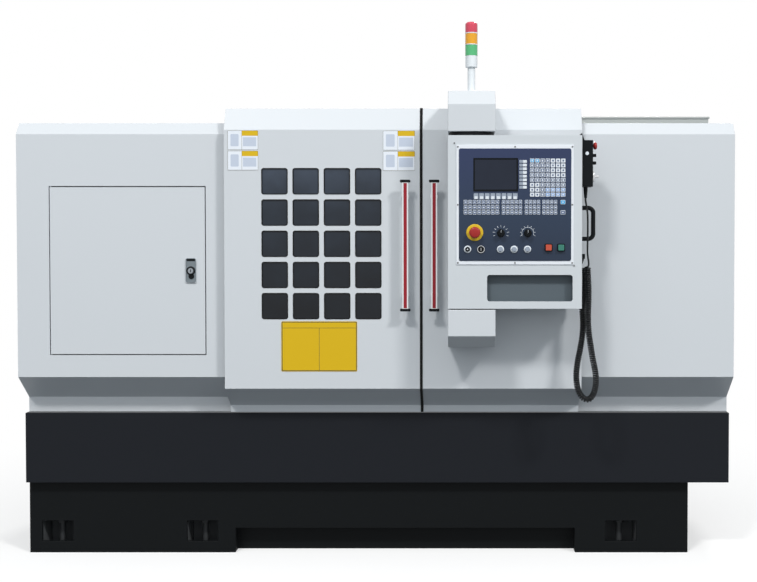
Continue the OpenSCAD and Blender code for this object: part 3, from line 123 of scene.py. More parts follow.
floor_paint = bpy.data.materials.new("floor")
floor_paint.use_nodes = True
tree = floor_paint.node_tree
tree.nodes.clear()
pale = tree.nodes.new("ShaderNodeBsdfDiffuse")
pale.inputs["Color"].default_value = (1, 1, 1, 1)
away = tree.nodes.new("ShaderNodeEmission")
coords = tree.nodes.new("ShaderNodeTexCoord")
reach = tree.nodes.new("ShaderNodeVectorMath")
reach.operation = "LENGTH"
fade = tree.nodes.new("ShaderNodeMapRange")
fade.interpolation_type = "SMOOTHSTEP"
fade.inputs["From Min"].default_value = 1.2
fade.inputs["From Max"].default_value = 3.2
fade.inputs["To Min"].default_value = 0.45
blend = tree.nodes.new("ShaderNodeMixShader")
for a, b in ((coords.outputs["Object"], reach.inputs[0]), (reach.outputs["Value"], fade.inputs["Value"]),
             (fade.outputs[0], blend.inputs[0]), (pale.outputs[0], blend.inputs[1]),
             (away.outputs[0], blend.inputs[2])):
    tree.links.new(a, b)
dim = tree.nodes.new("ShaderNodeBsdfDiffuse")
dim.inputs["Color"].default_value = (0.086, 0.101, 0.114, 1)
out = tree.nodes.new("ShaderNodeOutputMaterial")
tree.links.new(seen_or_not(tree, blend.outputs[0], dim.outputs[0]), out.inputs["Surface"])
floor_mesh = bpy.data.meshes.new("floor")
floor_mesh.from_pydata([(-60, -14, 0), (60, -14, 0), (60, 90, 0), (-60, 90, 0)], [], [(0, 1, 2, 3)])
floor_mesh.materials.append(floor_paint)
floor = bpy.data.objects.new("floor", floor_mesh)
scene.collection.objects.link(floor)


# Plinth: a box of welded plate with a toe recess and six pockets for its levelling jacks, painted black.
# Primed plates stand round the jacks. All finishes come from one node group, which varies colour and gloss
# over a piece and adds a fine grain.
def lin(r, g, b):
    """A colour for the shaders from one in the usual 0 to 255."""
    def one(c):
        c = c / 255
        return c / 12.92 if c <= 0.04045 else ((c + 0.055) / 1.055) ** 2.4

    return (one(r), one(g), one(b), 1)


finish = bpy.data.node_groups.new("finish", "ShaderNodeTree")
for label, kind, value in (
    ("Color", "NodeSocketColor", (0.5, 0.5, 0.5, 1)), ("Shade", "NodeSocketFloat", 0.05),
    ("Patch", "NodeSocketFloat", 3.0), ("Roughness", "NodeSocketFloat", 0.5),
    ("Gloss Shade", "NodeSocketFloat", 0.06), ("Grain", "NodeSocketFloat", 0.1),
    ("Grain Scale", "NodeSocketFloat", 700.0), ("Stretch", "NodeSocketVector", (1, 1, 1)),
):
    finish.interface.new_socket(label, in_out="INPUT", socket_type=kind).default_value = value
for label, kind in (("Color", "NodeSocketColor"), ("Roughness", "NodeSocketFloat"),
                    ("Normal", "NodeSocketVector")):
    finish.interface.new_socket(label, in_out="OUTPUT", socket_type=kind)
put = finish.nodes.new
given = put("NodeGroupInput")
result = put("NodeGroupOutput")
coords = put("ShaderNodeTexCoord")
stretched = put("ShaderNodeVectorMath")
stretched.operation = "MULTIPLY"
patches = put("ShaderNodeTexNoise")
patches.inputs["Detail"].default_value = 4
grain = put("ShaderNodeTexNoise")
grain.inputs["Detail"].default_value = 2
shade = put("ShaderNodeMath")
shade.operation = "MULTIPLY_ADD"
shade.inputs[2].default_value = 1.0
middle = put("ShaderNodeMath")
middle.operation = "SUBTRACT"
middle.inputs[1].default_value = 0.5
tinted = put("ShaderNodeVectorMath")
tinted.operation = "SCALE"
gloss = put("ShaderNodeMath")
gloss.operation = "MULTIPLY_ADD"
gloss.use_clamp = True
bump = put("ShaderNodeBump")
bump.inputs["Distance"].default_value = 0.0006
for a, b in (
    (coords.outputs["Object"], stretched.inputs[0]), (given.outputs["Stretch"], stretched.inputs[1]),
    (coords.outputs["Object"], patches.inputs["Vector"]), (given.outputs["Patch"], patches.inputs["Scale"]),
    (stretched.outputs[0], grain.inputs["Vector"]), (given.outputs["Grain Scale"], grain.inputs["Scale"]),
    (patches.outputs[0], middle.inputs[0]), (middle.outputs[0], shade.inputs[0]),
    (given.outputs["Shade"], shade.inputs[1]), (given.outputs["Color"], tinted.inputs[0]),
    (shade.outputs[0], tinted.inputs["Scale"]), (tinted.outputs[0], result.inputs["Color"]),
    (middle.outputs[0], gloss.inputs[0]), (given.outputs["Gloss Shade"], gloss.inputs[1]),
    (given.outputs["Roughness"], gloss.inputs[2]), (gloss.outputs[0], result.inputs["Roughness"]),
    (grain.outputs[0], bump.inputs["Height"]), (given.outputs["Grain"], bump.inputs["Strength"]),
    (bump.outputs[0], result.inputs["Normal"]),
):
    finish.links.new(a, b)


def surface(name, colour, rough, numbers=(), **sockets):
    """A material with the shared finish, its own numbers and any plain Principled sockets."""
    m = bpy.data.materials.new(name)
    m.use_nodes = True
    m.diffuse_color = colour
    base = m.node_tree.nodes["Principled BSDF"]
    group = m.node_tree.nodes.new("ShaderNodeGroup")
    group.node_tree = finish
    group.inputs["Color"].default_value = colour
    group.inputs["Roughness"].default_value = rough
    for label, value in dict(numbers).items():
        group.inputs[label].default_value = value
    for label, socket in (("Color", "Base Color"), ("Roughness", "Roughness"), ("Normal", "Normal")):
        m.node_tree.links.new(group.outputs[label], base.inputs[socket])
    for label, value in sockets.items():
        base.inputs[label.replace("_", " ")].default_value = value
    return m


def graded(material, low_z, high_z, tones):
    """Lets a finish change its tone with height, between the tones given from the bottom up."""
    tree = material.node_tree
    place = tree.nodes.new("ShaderNodeTexCoord")
    parts = tree.nodes.new("ShaderNodeSeparateXYZ")
    height = tree.nodes.new("ShaderNodeMapRange")
    height.inputs["From Min"].default_value = low_z
    height.inputs["From Max"].default_value = high_z
    ramp = tree.nodes.new("ShaderNodeValToRGB")
    while len(ramp.color_ramp.elements) < len(tones):
        ramp.color_ramp.elements.new(0.5)
    for stop, (share, tone) in zip(ramp.color_ramp.elements, tones):
        stop.position = share
        stop.color = (*tone, 1)
    group = next(n for n in tree.nodes if n.type == "GROUP")
    tree.links.new(place.outputs["Object"], parts.inputs[0])
    tree.links.new(parts.outputs["Z"], height.inputs["Value"])
    tree.links.new(height.outputs[0], ramp.inputs[0])
    tree.links.new(ramp.outputs[0], group.inputs["Color"])


home = {n: b for b, names in frame["record"]["behaviour"]["bodies"].items() for n in names}


def box_of(node):
    """The lower and the upper corner of a CAD node's box."""
    return [Vector(p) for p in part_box(node)]


def coat(material, *nodes):
    """Gives CAD nodes their finish."""
    for node in nodes:
        frame["nodes"][node].data.materials.clear()
        frame["nodes"][node].data.materials.append(material)


def settle(o):
    """Fixes an object's modifiers into its mesh."""
    shape = bpy.data.meshes.new_from_object(o.evaluated_get(bpy.context.evaluated_depsgraph_get()))
    o.modifiers.clear()
    o.data = shape


def ease(o, width, angle=32, segments=2):
    """Rounds the edges of a piece that turn by more than the angle, and shades its flats as flats."""
    for f in o.data.polygons:
        f.use_smooth = True
    if width:
        edge = o.modifiers.new("edge", "BEVEL")
        edge.width = width
        edge.segments = segments
        edge.limit_method = "ANGLE"
        edge.angle_limit = math.radians(angle)
        edge.miter_outer = "MITER_ARC"
        o.modifiers.new("normals", "WEIGHTED_NORMAL").keep_sharp = True
        settle(o)
    else:
        o.data.set_sharp_from_angle(angle=math.radians(angle))


def whole(shape):
    """True where the triangles of every face cover it once, so that no cut-out is filled."""
    covered = [0.0] * len(shape.polygons)
    shape.calc_loop_triangles()
    for t in shape.loop_triangles:
        covered[t.polygon_index] += t.area
    return all(a < 1.01 * f.area + 2e-5 for a, f in zip(covered, shape.polygons))


def softened(node, width, angle=32, segments=2):
    """A copy of a CAD node in its place, with its edges eased as a bend or a broken edge is."""
    o = bpy.data.objects.new(node + ".soft", frame["nodes"][node].data.copy())
    scene.collection.objects.link(o)
    for flats_joined in (True, False):
        shape = frame["nodes"][node].data.copy()
        bm = bmesh.new()
        bm.from_mesh(shape)
        bmesh.ops.remove_doubles(bm, verts=bm.verts, dist=2e-6)
        if flats_joined:
            bmesh.ops.dissolve_limit(bm, angle_limit=math.radians(0.6), verts=bm.verts, edges=bm.edges)
        bm.to_mesh(shape)
        bm.free()
        o.data = shape
        ease(o, width, angle, segments)
        if whole(o.data):
            break
    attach(o, home[node])
    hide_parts(node)
    return o


def prism(bm, outline, y, skin=0):
    """A prism between two places along Y, from an outline of (x, z) points."""
    front = [bm.verts.new((a, y[0], b)) for a, b in outline]
    back = [bm.verts.new((a, y[1], b)) for a, b in outline]
    faces = [bm.faces.new(front), bm.faces.new(back[::-1])]
    for i in range(len(outline)):
        faces.append(bm.faces.new((front[i - 1], back[i - 1], back[i], front[i])))
    for f in faces:
        f.material_index = skin


def piece(name, body, bm, materials, width=0.0, replaces=(), angle=32):
    """Finishes a shape as a piece that rides on a body."""
    bmesh.ops.recalc_face_normals(bm, faces=bm.faces)
    shape = bpy.data.meshes.new(name)
    bm.to_mesh(shape)
    bm.free()
    for m in materials:
        shape.materials.append(m)
    o = bpy.data.objects.new(name, shape)
    scene.collection.objects.link(o)
    ease(o, width, angle)
    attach(o, body)
    if replaces:
        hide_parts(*replaces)


peel = {"Grain": 0.10, "Grain Scale": 420.0, "Shade": 0.03, "Patch": 1.6}
ground = {"Grain": 0.12, "Grain Scale": 500.0, "Shade": 0.08, "Patch": 9.0, "Gloss Shade": 0.16}
coat(surface("plinth_paint", (0.0050, 0.0060, 0.0067, 1), 0.5, peel, Specular_IOR_Level=0.08), "base_plinth")
softened("base_plinth", 0.0025)
low, high = box_of("base_plinth")
jack_x = (low[0] + 0.108, low[0] + 0.665, high[0] - 0.258)
jack_half, gusset_t = 0.060, 0.006
gusset_near, gusset_far = 0.0115, 0.126
foot, head = 0.0125, 0.1225
bm = bmesh.new()
for x in jack_x:
    for wall, inward in ((low[1], 1), (high[1], -1)):
        near, far = wall + gusset_near * inward, wall + gusset_far * inward
        side_y = sorted((near, far))
        back_y = sorted((far, far - gusset_t * inward))
        for a, b, y in (
            (-jack_half - gusset_t, -jack_half, side_y), (jack_half, jack_half + gusset_t, side_y),
            (-jack_half, jack_half, back_y),
        ):
            prism(bm, [(x + a, foot), (x + b, foot), (x + b, head), (x + a, head)], y)
primer = surface("primer", (0.085, 0.089, 0.093, 1), 0.6, peel, Specular_IOR_Level=0.1)
piece("jack_gussets", home["base_plinth"], bm, [primer])
coat(surface("jack_black", (0.030, 0.032, 0.034, 1), 0.55, ground, Specular_IOR_Level=0.2), "leveling_jacks")

# Chip tray: a deep pan of folded and welded plate with a rounded rim, painted charcoal.
# It stands on the plinth, and the enclosure stands on its rim.
coat(surface("tray_paint", (0.0090, 0.0105, 0.0140, 1), 0.5, peel, Specular_IOR_Level=0.12), "chip_pan")
softened("chip_pan", 0.004, segments=3)

# Bed and castings: grey iron, sand cast with rounded edges, and painted grey where it isn't machined.
# The ways and the joints between castings are ground bright, so those faces get the ground metal.
sand = {"Grain": 0.55, "Grain Scale": 260.0, "Shade": 0.14, "Patch": 7.0, "Gloss Shade": 0.12}
along = {**ground, "Stretch": (0.04, 1, 1)}
cast_iron = surface("cast_iron", (0.215, 0.245, 0.262, 1), 0.52, sand)
bright_steel = surface("bright_steel", (0.62, 0.63, 0.64, 1), 0.30, along, Metallic=1.0)
coat(cast_iron, "bed", "headstock", "saddle", "cross_slide", "tailstock")


def machined(o, material, test):
    """Gives another finish to the faces of a piece that pass a test of their middle and normal."""
    o.data.materials.append(material)
    for f in o.data.polygons:
        if test(f.center, f.normal):
            f.material_index = len(o.data.materials) - 1


way_rise, top_skin = 0.045, 0.002
way_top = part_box("bed")[1][2]
slide_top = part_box("cross_slide")[1][2]
ways = softened("bed", 0.004)
machined(ways, bright_steel, lambda p, n: n[2] > 0.5 and p[2] > way_top - way_rise)
softened("headstock", 0.006)
softened("saddle", 0.004)
slide = softened("cross_slide", 0.003)
machined(slide, bright_steel, lambda p, n: n[2] > 0.9 and p[2] > slide_top - top_skin)
softened("tailstock", 0.005)

# Spindle, chuck, turret, quill and handwheels: turned and ground steel, the chuck and tools blacked.
# Each is keyed or bolted to the casting that carries it.
dark_steel = surface("dark_steel", (0.20, 0.205, 0.21, 1), 0.36, ground, Metallic=1.0)
coat(bright_steel, "spindle", "chuck_jaw_1", "chuck_jaw_2", "chuck_jaw_3", "quill", "tool_turret",
     "motor_pulley")
coat(dark_steel, "chuck_body", "turning_tools", "tailstock_center", "tailstock_handwheel")
softened("spindle", 0.001)
softened("chuck_body", 0.0015)
softened("tool_turret", 0.0015)
softened("tailstock_handwheel", 0.0015)

# Ball screw: ground steel bar with a round helical groove of one start and thinner plain ends.
# It turns in bearings at both ends and drives the saddle.
coat(bright_steel, "z_ball_screw")
low, high = box_of("z_ball_screw")
middle_y, middle_z = (low[1] + high[1]) / 2, (low[2] + high[2]) / 2
screw_r = (high[2] - low[2]) / 2
journal, journal_r = 0.045, screw_r * 0.72
lead, groove_depth = 0.01, 0.0022
steps, sides = 8, 16
bm = bmesh.new()
rings = []
for k in range(int((high[0] - low[0]) / lead * steps) + 1):
    x = low[0] + k * lead / steps
    at_end = min(x - low[0], high[0] - x) < journal
    ring = []
    for i in range(sides):
        a = 2 * math.pi * i / sides
        phase = (k / steps + i / sides) % 1.0
        groove = groove_depth * max(0.0, math.sin(math.pi * phase)) ** 0.7
        r = journal_r if at_end else screw_r - groove
        ring.append(bm.verts.new((x, middle_y + r * math.cos(a), middle_z + r * math.sin(a))))
    rings.append(ring)
for one, two in zip(rings, rings[1:]):
    for i in range(sides):
        bm.faces.new((one[i - 1], one[i], two[i], two[i - 1]))
bm.faces.new(rings[0])
bm.faces.new(rings[-1])
piece("ball_screw_thread", "ball_screw", bm, [bright_steel], 0.0, ["z_ball_screw"], angle=50)

# Motors, belts and drive modules: finned cast motors sprayed black, rubber belts, moulded drive housings.
# The motors are bolted on by their flanges, and the modules are screwed down inside the cabinet.
motor_black = surface("motor_black", (0.018, 0.019, 0.021, 1), 0.5, sand)
black_rubber = surface("black_rubber", (0.0060, 0.0060, 0.0062, 1), 0.65, ground, Specular_IOR_Level=0.12)
coat(motor_black, "spindle_motor", "z_servo_motor", "x_servo_motor")
coat(black_rubber, "drive_belts")
coat(surface("module_plastic", lin(196, 199, 196), 0.5, peel), "drive_modules")
softened("spindle_motor", 0.002)
softened("z_servo_motor", 0.003)
softened("x_servo_motor", 0.003)
softened("drive_modules", 0.002)

# Covers, rear guard and access door: bent steel sheet, powder coated light grey, with tight bends.
# They are screwed to the tray's rim; the access door hangs on two pins in its folded opening.
light_paint = surface("light_paint", (0.580, 0.607, 0.633, 1), 0.42, peel, Specular_IOR_Level=0.4)
coat(light_paint, "left_cover", "right_cover", "rear_guard", "access_door")
for node in ("left_cover", "right_cover", "rear_guard", "access_door"):
    softened(node, 0.0012, angle=18)


# Latch: a dished steel plate in the access door, with a round lock in a black collar that turns by its slot.
# The plate is let into the door's face, and a nut behind it holds the lock. A black strip along its top is
# painted shadow of the recess.
def rounded(x, z, r, steps=4):
    """Points round a rectangle with rounded corners, seen from the front."""
    spots = []
    for cx, cz, turn in ((x[1] - r, z[1] - r, 0), (x[0] + r, z[1] - r, 90),
                         (x[0] + r, z[0] + r, 180), (x[1] - r, z[0] + r, 270)):
        for k in range(steps + 1):
            a = math.radians(turn + 90 * k / steps)
            spots.append((cx + r * math.cos(a), cz + r * math.sin(a)))
    return spots


def hoop(bm, outer, inner, y, skin=0):
    """A frame between two outlines of as many points, between two places along Y."""
    rings = [[bm.verts.new((a, depth, b)) for a, b in line]
             for line, depth in ((outer, y[0]), (outer, y[1]), (inner, y[1]), (inner, y[0]))]
    for one, two in zip(rings, rings[1:] + rings[:1]):
        for i in range(len(outer)):
            bm.faces.new((one[i - 1], one[i], two[i], two[i - 1])).material_index = skin


def turned(bm, centre, axis, profile, sides=32, skin=0):
    """A turned shape: (radius, distance) pairs along an axis, closed where the radius is 0."""
    axis = Vector(axis).normalized()
    u = axis.orthogonal().normalized()
    v = axis.cross(u)
    rings = []
    for r, h in profile:
        mid = Vector(centre) + axis * h
        turns = [2 * math.pi * k / sides for k in range(sides)] if r else [0]
        rings.append([bm.verts.new(mid + r * (math.cos(a) * u + math.sin(a) * v)) for a in turns])
    for one, two in zip(rings, rings[1:]):
        for i in range(sides):
            corners = [ring[(i + k) % len(ring)] for ring, k in ((one, 0), (one, 1), (two, 1), (two, 0))]
            bm.faces.new(list(dict.fromkeys(corners))).material_index = skin


def inside(x, z, by, r):
    """Points round a rounded rectangle that keeps some distance inside its edges along x and z."""
    return rounded((x[0] + by, x[1] - by), (z[0] + by, z[1] - by), r)


def around(at, half_x, half_z, r):
    """Points round a rounded rectangle about a point."""
    return rounded((at[0] - half_x, at[0] + half_x), (at[2] - half_z, at[2] + half_z), r)


coat(surface("lock_steel", (0.30, 0.33, 0.36, 1), 0.30, ground, Metallic=1.0), "access_latch")
latch_steel = surface("latch_steel", (0.17, 0.20, 0.22, 1), 0.40, ground, Metallic=0.3)
black_plastic = surface("black_plastic", (0.0036, 0.0050, 0.0064, 1), 0.40, {**peel, "Grain Scale": 1200.0},
                        Specular_IOR_Level=0.12)
forward = (0, -1, 0)
low, high = box_of("access_latch")
lock = ((low[0] + high[0]) / 2, low[1], low[2] + 0.014)
plate_y = low[1] + 0.006
plate_x = (lock[0] - 0.0187, lock[0] + 0.0187)
plate_z = (lock[2] - 0.0435, lock[2] + 0.0470)
shadow_strip_x = (plate_x[0] + 0.0030, plate_x[1] - 0.0030)
shadow_strip_z = (plate_z[1] - 0.0115, plate_z[1] - 0.0030)
eye = [(0, -0.001), (0.0105, -0.001), (0.0105, 0.0026), (0.0096, 0.0034), (0.0070, 0.0034), (0.0062, 0.0022),
       (0, 0.0022)]
collar = [(0, -0.001), (0.0165, -0.001), (0.0165, 0.0030), (0.0152, 0.0044), (0.0138, 0.0044),
          (0.0138, 0.0010), (0, 0.0010)]
lock_rim = [(0.0102, -0.0005), (0.0139, -0.0005), (0.0139, 0.0006), (0.0130, 0.0011), (0.0108, 0.0011),
            (0.0102, 0.0006), (0.0102, -0.0005)]
bm = bmesh.new()
hoop(bm, rounded(plate_x, plate_z, 0.006), inside(plate_x, plate_z, 0.0022, 0.0045),
     (plate_y - 0.0016, plate_y + 0.0030))
prism(bm, inside(plate_x, plate_z, 0.0010, 0.005), (plate_y - 0.0005, plate_y + 0.0030))
# Painted shadow: a black strip under the plate's upper edge, where the recess is shaded.
prism(bm, rounded(shadow_strip_x, shadow_strip_z, 0.002), (plate_y - 0.0008, plate_y + 0.0010), 1)
turned(bm, (lock[0] + 0.002, plate_y, lock[2] - 0.0205), forward, eye, 40, 1)
turned(bm, (lock[0], plate_y, lock[2]), forward, collar, 48, 1)
piece("latch_plate", "access_door", bm, [latch_steel, black_plastic], 0.0004)
bm = bmesh.new()
prism(bm, around(lock, 0.0013, 0.0055, 0.001), (lock[1] - 0.0003, lock[1] + 0.0004))
turned(bm, lock, forward, lock_rim, 48)
bmesh.ops.remove_doubles(bm, verts=bm.verts, dist=1e-6)
piece("latch_slot", "access_latch", bm, [black_plastic])
softened("access_latch", 0.0008)

# Door rails and cable duct: a ground bar on the tray's rim and a guide on the roof, both screwed down,
# and grey plastic trunking that lies on the roof.
coat(dark_steel, "door_rails")
coat(surface("duct_plastic", lin(158, 162, 160), 0.5, peel), "cable_duct")
softened("cable_duct", 0.002)

# Sliding doors: bent sheet like the covers, standing 40 mm proud of them, that run on the rails.
# A rubber seal is pressed onto the edge at the seam.
coat(light_paint, "left_door", "right_door")
coat(black_rubber, "door_seal")
for node in ("left_door", "right_door"):
    softened(node, 0.0012, angle=18)


# Windows: one tinted pane behind twenty cut openings in the left door, each edged with a black gasket.
# The pane's colour is painted paler and bluer towards the top and mottled in patches, as painted reflection.
# The gaskets are a field, as all that repeats is:
# a shape set at each of a list of spots in Geometry Nodes and then kept as a plain mesh.
def field_tree(name, sizes, shape):
    """A tree that takes the spots, its own named sizes and a finish."""
    tree = bpy.data.node_groups.new(name, "GeometryNodeTree")
    tree.interface.new_socket("Spots", in_out="INPUT", socket_type="NodeSocketGeometry")
    for label, value in sizes.items():
        tree.interface.new_socket(label, in_out="INPUT", socket_type="NodeSocketFloat").default_value = value
    tree.interface.new_socket("Finish", in_out="INPUT", socket_type="NodeSocketMaterial")
    tree.interface.new_socket("Mesh", in_out="OUTPUT", socket_type="NodeSocketGeometry")
    put = tree.nodes.new
    join = tree.links.new
    given = put("NodeGroupInput").outputs
    facing = put("GeometryNodeTransform")
    facing.inputs["Rotation"].default_value = (math.radians(90), 0, 0)
    set_out = put("GeometryNodeInstanceOnPoints")
    real = put("GeometryNodeRealizeInstances")
    finished = put("GeometryNodeSetMaterial")
    result = put("NodeGroupOutput")
    join(shape(put, join, given), facing.inputs["Geometry"])
    join(given["Spots"], set_out.inputs["Points"])
    join(facing.outputs[0], set_out.inputs["Instance"])
    join(set_out.outputs[0], real.inputs[0])
    join(real.outputs[0], finished.inputs["Geometry"])
    join(given["Finish"], finished.inputs["Material"])
    join(finished.outputs[0], result.inputs[0])
    return tree


def field(name, tree, spots, sizes, material, body, width=0.0, replaces=(), turn=0):
    """One piece with the tree's shape at every spot, facing the front or turned about Z by some degrees."""
    about_z = Matrix.Rotation(math.radians(turn), 4, "Z")
    shape = bpy.data.meshes.new(name)
    shape.from_pydata([tuple(about_z.inverted() @ Vector(p)) for p in spots], [], [])
    o = bpy.data.objects.new(name, shape)
    scene.collection.objects.link(o)
    nodes = o.modifiers.new("field", "NODES")
    nodes.node_group = tree
    named = {item.name: item.identifier for item in tree.interface.items_tree if item.in_out == "INPUT"}
    for label, value in {**sizes, "Finish": material}.items():
        nodes[named[label]] = value
    settle(o)
    o.data.transform(about_z)
    ease(o, width)
    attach(o, body)
    if replaces:
        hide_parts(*replaces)


def round_rect_curve(put, join, given):
    """A rounded rectangle as a line."""
    line = put("GeometryNodeCurvePrimitiveQuadrilateral")
    corner = put("GeometryNodeFilletCurve")
    corner.mode = "POLY"
    corner.inputs["Count"].default_value = 4
    join(given["Width"], line.inputs["Width"])
    join(given["Height"], line.inputs["Height"])
    join(given["Corner"], corner.inputs["Radius"])
    join(line.outputs[0], corner.inputs["Curve"])
    return corner.outputs[0]


def gasket_shape(put, join, given):
    """A square bead that follows a rounded rectangle."""
    section = put("GeometryNodeCurvePrimitiveQuadrilateral")
    swept = put("GeometryNodeCurveToMesh")
    join(given["Wide"], section.inputs["Width"])
    join(given["Thick"], section.inputs["Height"])
    join(round_rect_curve(put, join, given), swept.inputs["Curve"])
    join(section.outputs[0], swept.inputs["Profile Curve"])
    return swept.outputs[0]


gasket_tree = field_tree("gasket_field", {"Width": 0.1, "Height": 0.1, "Corner": 0.008, "Wide": 0.003,
                                          "Thick": 0.003}, gasket_shape)
# Painted reflection: the Shade and Patch numbers mottle the pane's tone in large patches.
glass = surface("tinted_glass", (0.014, 0.021, 0.031, 1), 0.07, {"Grain": 0.0, "Shade": 1.5, "Patch": 7.0},
                Specular_IOR_Level=0.3)
coat(glass, "window_pane")
low, high = box_of("window_pane")
# Painted reflection: the pane's tone rises from dark at the bottom to paler and bluer at the top.
graded(glass, low[2], high[2], ((0.08, (0.0035, 0.0055, 0.009)), (0.68, (0.014, 0.020, 0.030)),
                                (1.0, (0.040, 0.053, 0.076))))
pitch, opening = 0.1155, 0.0945
gasket = {"Width": opening, "Height": opening, "Corner": 0.0075, "Wide": 0.0032, "Thick": 0.004}
window_middle = (low + high) / 2
door_y = low[1] - 0.003
spots = [(window_middle[0] + (i - 1.5) * pitch, door_y + 0.001, window_middle[2] + (j - 2) * pitch)
         for i in range(4) for j in range(5)]
field("window_gaskets", gasket_tree, spots, gasket, black_rubber, "left_door")

# Plates on the left door: bare sheet-metal plates, two stacked at each upper corner and one yellow below.
# They are stuck on and carry plain fields of colour only.
plate_white = surface("plate_white", lin(224, 229, 236), 0.38, peel)
plate_yellow = surface("plate_yellow", lin(210, 172, 12), 0.45, peel, Specular_IOR_Level=0.3)
plate_ink = surface("plate_ink", lin(84, 78, 34), 0.5, peel)
plate_grey = surface("plate_grey", lin(188, 197, 212), 0.4, peel)
mid_x, mid_z = window_middle[0], window_middle[2]
margin = 0.0019
printed = (door_y - 0.0009, door_y - 0.0007)
bm = bmesh.new()
for x0, x1, z0, z1 in ((-0.347, -0.232, 0.271, 0.419), (0.227, 0.347, 0.269, 0.418)):
    x = (mid_x + x0, mid_x + x1)
    split = x[0] + 0.47 * (x[1] - x[0])
    half_z = mid_z + (z0 + z1) / 2
    for z in ((mid_z + z0, half_z - 0.001), (half_z + 0.001, mid_z + z1)):
        prism(bm, rounded(x, z, 0.003), (door_y - 0.0008, door_y))
        hoop(bm, inside(x, z, 0.0008, 0.0025), inside(x, z, margin, 0.002), printed, 2)
        for patch_x, patch_z, r, steps, skin in (
            ((split, x[1] - margin), (z[1] - 0.0205, z[1] - margin), 0.0005, 4, 1),
            ((split - 0.0009, split), (z[0] + margin, z[1] - margin), 0.0002, 1, 2),
            ((split + 0.004, x[1] - 0.008), (z[0] + 0.014, z[1] - 0.026), 0.001, 4, 3),
            ((x[0] + 0.012, split - 0.012), (z[0] + 0.014, z[1] - 0.014), 0.004, 4, 3),
        ):
            prism(bm, rounded(patch_x, patch_z, r, steps), printed, skin)
piece("bare_plates", "left_door", bm, [plate_white, plate_yellow, plate_ink, plate_grey])
x = (mid_x - 0.150, mid_x + 0.1315)
z = (mid_z - 0.474, mid_z - 0.2875)
divide_x = (x[0] + x[1]) / 2
printed = (door_y - 0.0011, door_y - 0.0009)
bm = bmesh.new()
prism(bm, rounded(x, z, 0.005), (door_y - 0.0010, door_y))
hoop(bm, inside(x, z, 0.0015, 0.004), inside(x, z, 0.0045, 0.002), printed, 1)
for line_x, line_z in (((x[0] + 0.004, x[1] - 0.004), (z[1] - 0.0255, z[1] - 0.0240)),
                       ((divide_x - 0.0008, divide_x + 0.0008), (z[0] + 0.004, z[1] - 0.0245))):
    prism(bm, rounded(line_x, line_z, 0.0003, 1), printed, 1)
piece("yellow_plate", "left_door", bm, [plate_yellow, plate_ink])

# Door handles: a satin aluminium bar with a maroon inlay, moulded black end caps and two steel posts.
# Each is bolted through its door's face; the bar stands 40 mm off it.
satin = surface("handle_metal", (0.72, 0.73, 0.74, 1), 0.34, {**ground, "Stretch": (1, 1, 0.03)},
                Metallic=0.6)
maroon = surface("handle_maroon", lin(142, 22, 36), 0.42, peel, Specular_IOR_Level=0.3)
coat(satin, "left_door_handle", "right_door_handle")
bar_half, inlay_half, bar_depth = 0.011, 0.0061, 0.014
bar_in, inlay_in, post_in, end_cap = 0.009, 0.012, 0.060, 0.010
for side in ("left_door", "right_door"):
    low, high = box_of(side + "_handle")
    x = (low[0] + high[0]) / 2
    front, back = low[1], low[1] + bar_depth
    reach = high[1] - back
    post = [(0, 0), (0.008, 0), (0.008, reach - 0.004), (0.0135, reach - 0.004), (0.015, reach - 0.002),
            (0.015, reach + 0.002), (0, reach + 0.002)]
    bm = bmesh.new()
    prism(bm, rounded((x - bar_half, x + bar_half), (low[2] + bar_in, high[2] - bar_in), 0.001, 1),
          (front, back))
    prism(bm, rounded((x - inlay_half, x + inlay_half), (low[2] + inlay_in, high[2] - inlay_in), 0.0005, 1),
          (front - 0.0006, front + 0.001), 1)
    for z in ((low[2], low[2] + end_cap), (high[2] - end_cap, high[2])):
        prism(bm, rounded((low[0], high[0]), z, 0.003), (front - 0.0015, back + 0.0015), 2)
    for z in (low[2] + post_in, high[2] - post_in):
        turned(bm, (x, back - 0.002, z), (0, 1, 0), post, 28)
    piece(side + "_grip", side, bm, [satin, maroon, black_plastic], 0.0008,
          [side + "_handle"])

# Panel brackets and tower light: bracket boxes of welded sheet on the right door, black slide pads,
# and a white plastic column of three ribbed lenses.
coat(light_paint, "panel_brackets")
softened("panel_brackets", 0.0030, angle=18, segments=3)
coat(black_plastic, "swivel_pads")
softened("swivel_pads", 0.0025)
tower_white = surface("tower_plastic", lin(220, 225, 228), 0.4, peel)
coat(tower_white, "tower_light", "tower_lenses")
softened("tower_light", 0.0012)
low, high = box_of("tower_lenses")
tower = (low + high) / 2
lens_pitch, rib = 0.042, 0.0005
lens_ring = [(0.018, 0), (0.022, 0), (0.022, 0.038), (0.018, 0.038), (0.018, 0)]
lens_dome = [(0.018, 0), (0.022, 0), (0.022, 0.030), (0.0212, 0.033), (0.016, 0.038), (0, 0.038)]
for i, (name, colour, outline) in enumerate((
    ("green", (80, 178, 116), lens_ring), ("amber", (228, 160, 20), lens_ring),
    ("red", (202, 60, 84), lens_dome),
)):
    lens = surface("lens_" + name, lin(*colour), 0.22, {**peel, "Grain": 0.0}, Coat_Weight=0.15)
    bm = bmesh.new()
    turned(bm, (tower[0], tower[1], low[2] + i * lens_pitch), (0, 0, 1), outline, 72)
    bmesh.ops.remove_doubles(bm, verts=bm.verts, dist=1e-6)
    for v in bm.verts:
        arm = Vector((v.co[0] - tower[0], v.co[1] - tower[1], 0))
        turn = math.degrees(math.atan2(arm[1], arm[0]))
        if arm.length > 0.0205 and round(turn / 5) % 2:
            v.co += arm.normalized() * rib
    if outline is lens_dome:
        bmesh.ops.holes_fill(bm, edges=[e for e in bm.edges if e.is_boundary], sides=0)
    piece("lens_" + name, "right_door", bm, [lens], 0.0, ["tower_lenses"], angle=60)

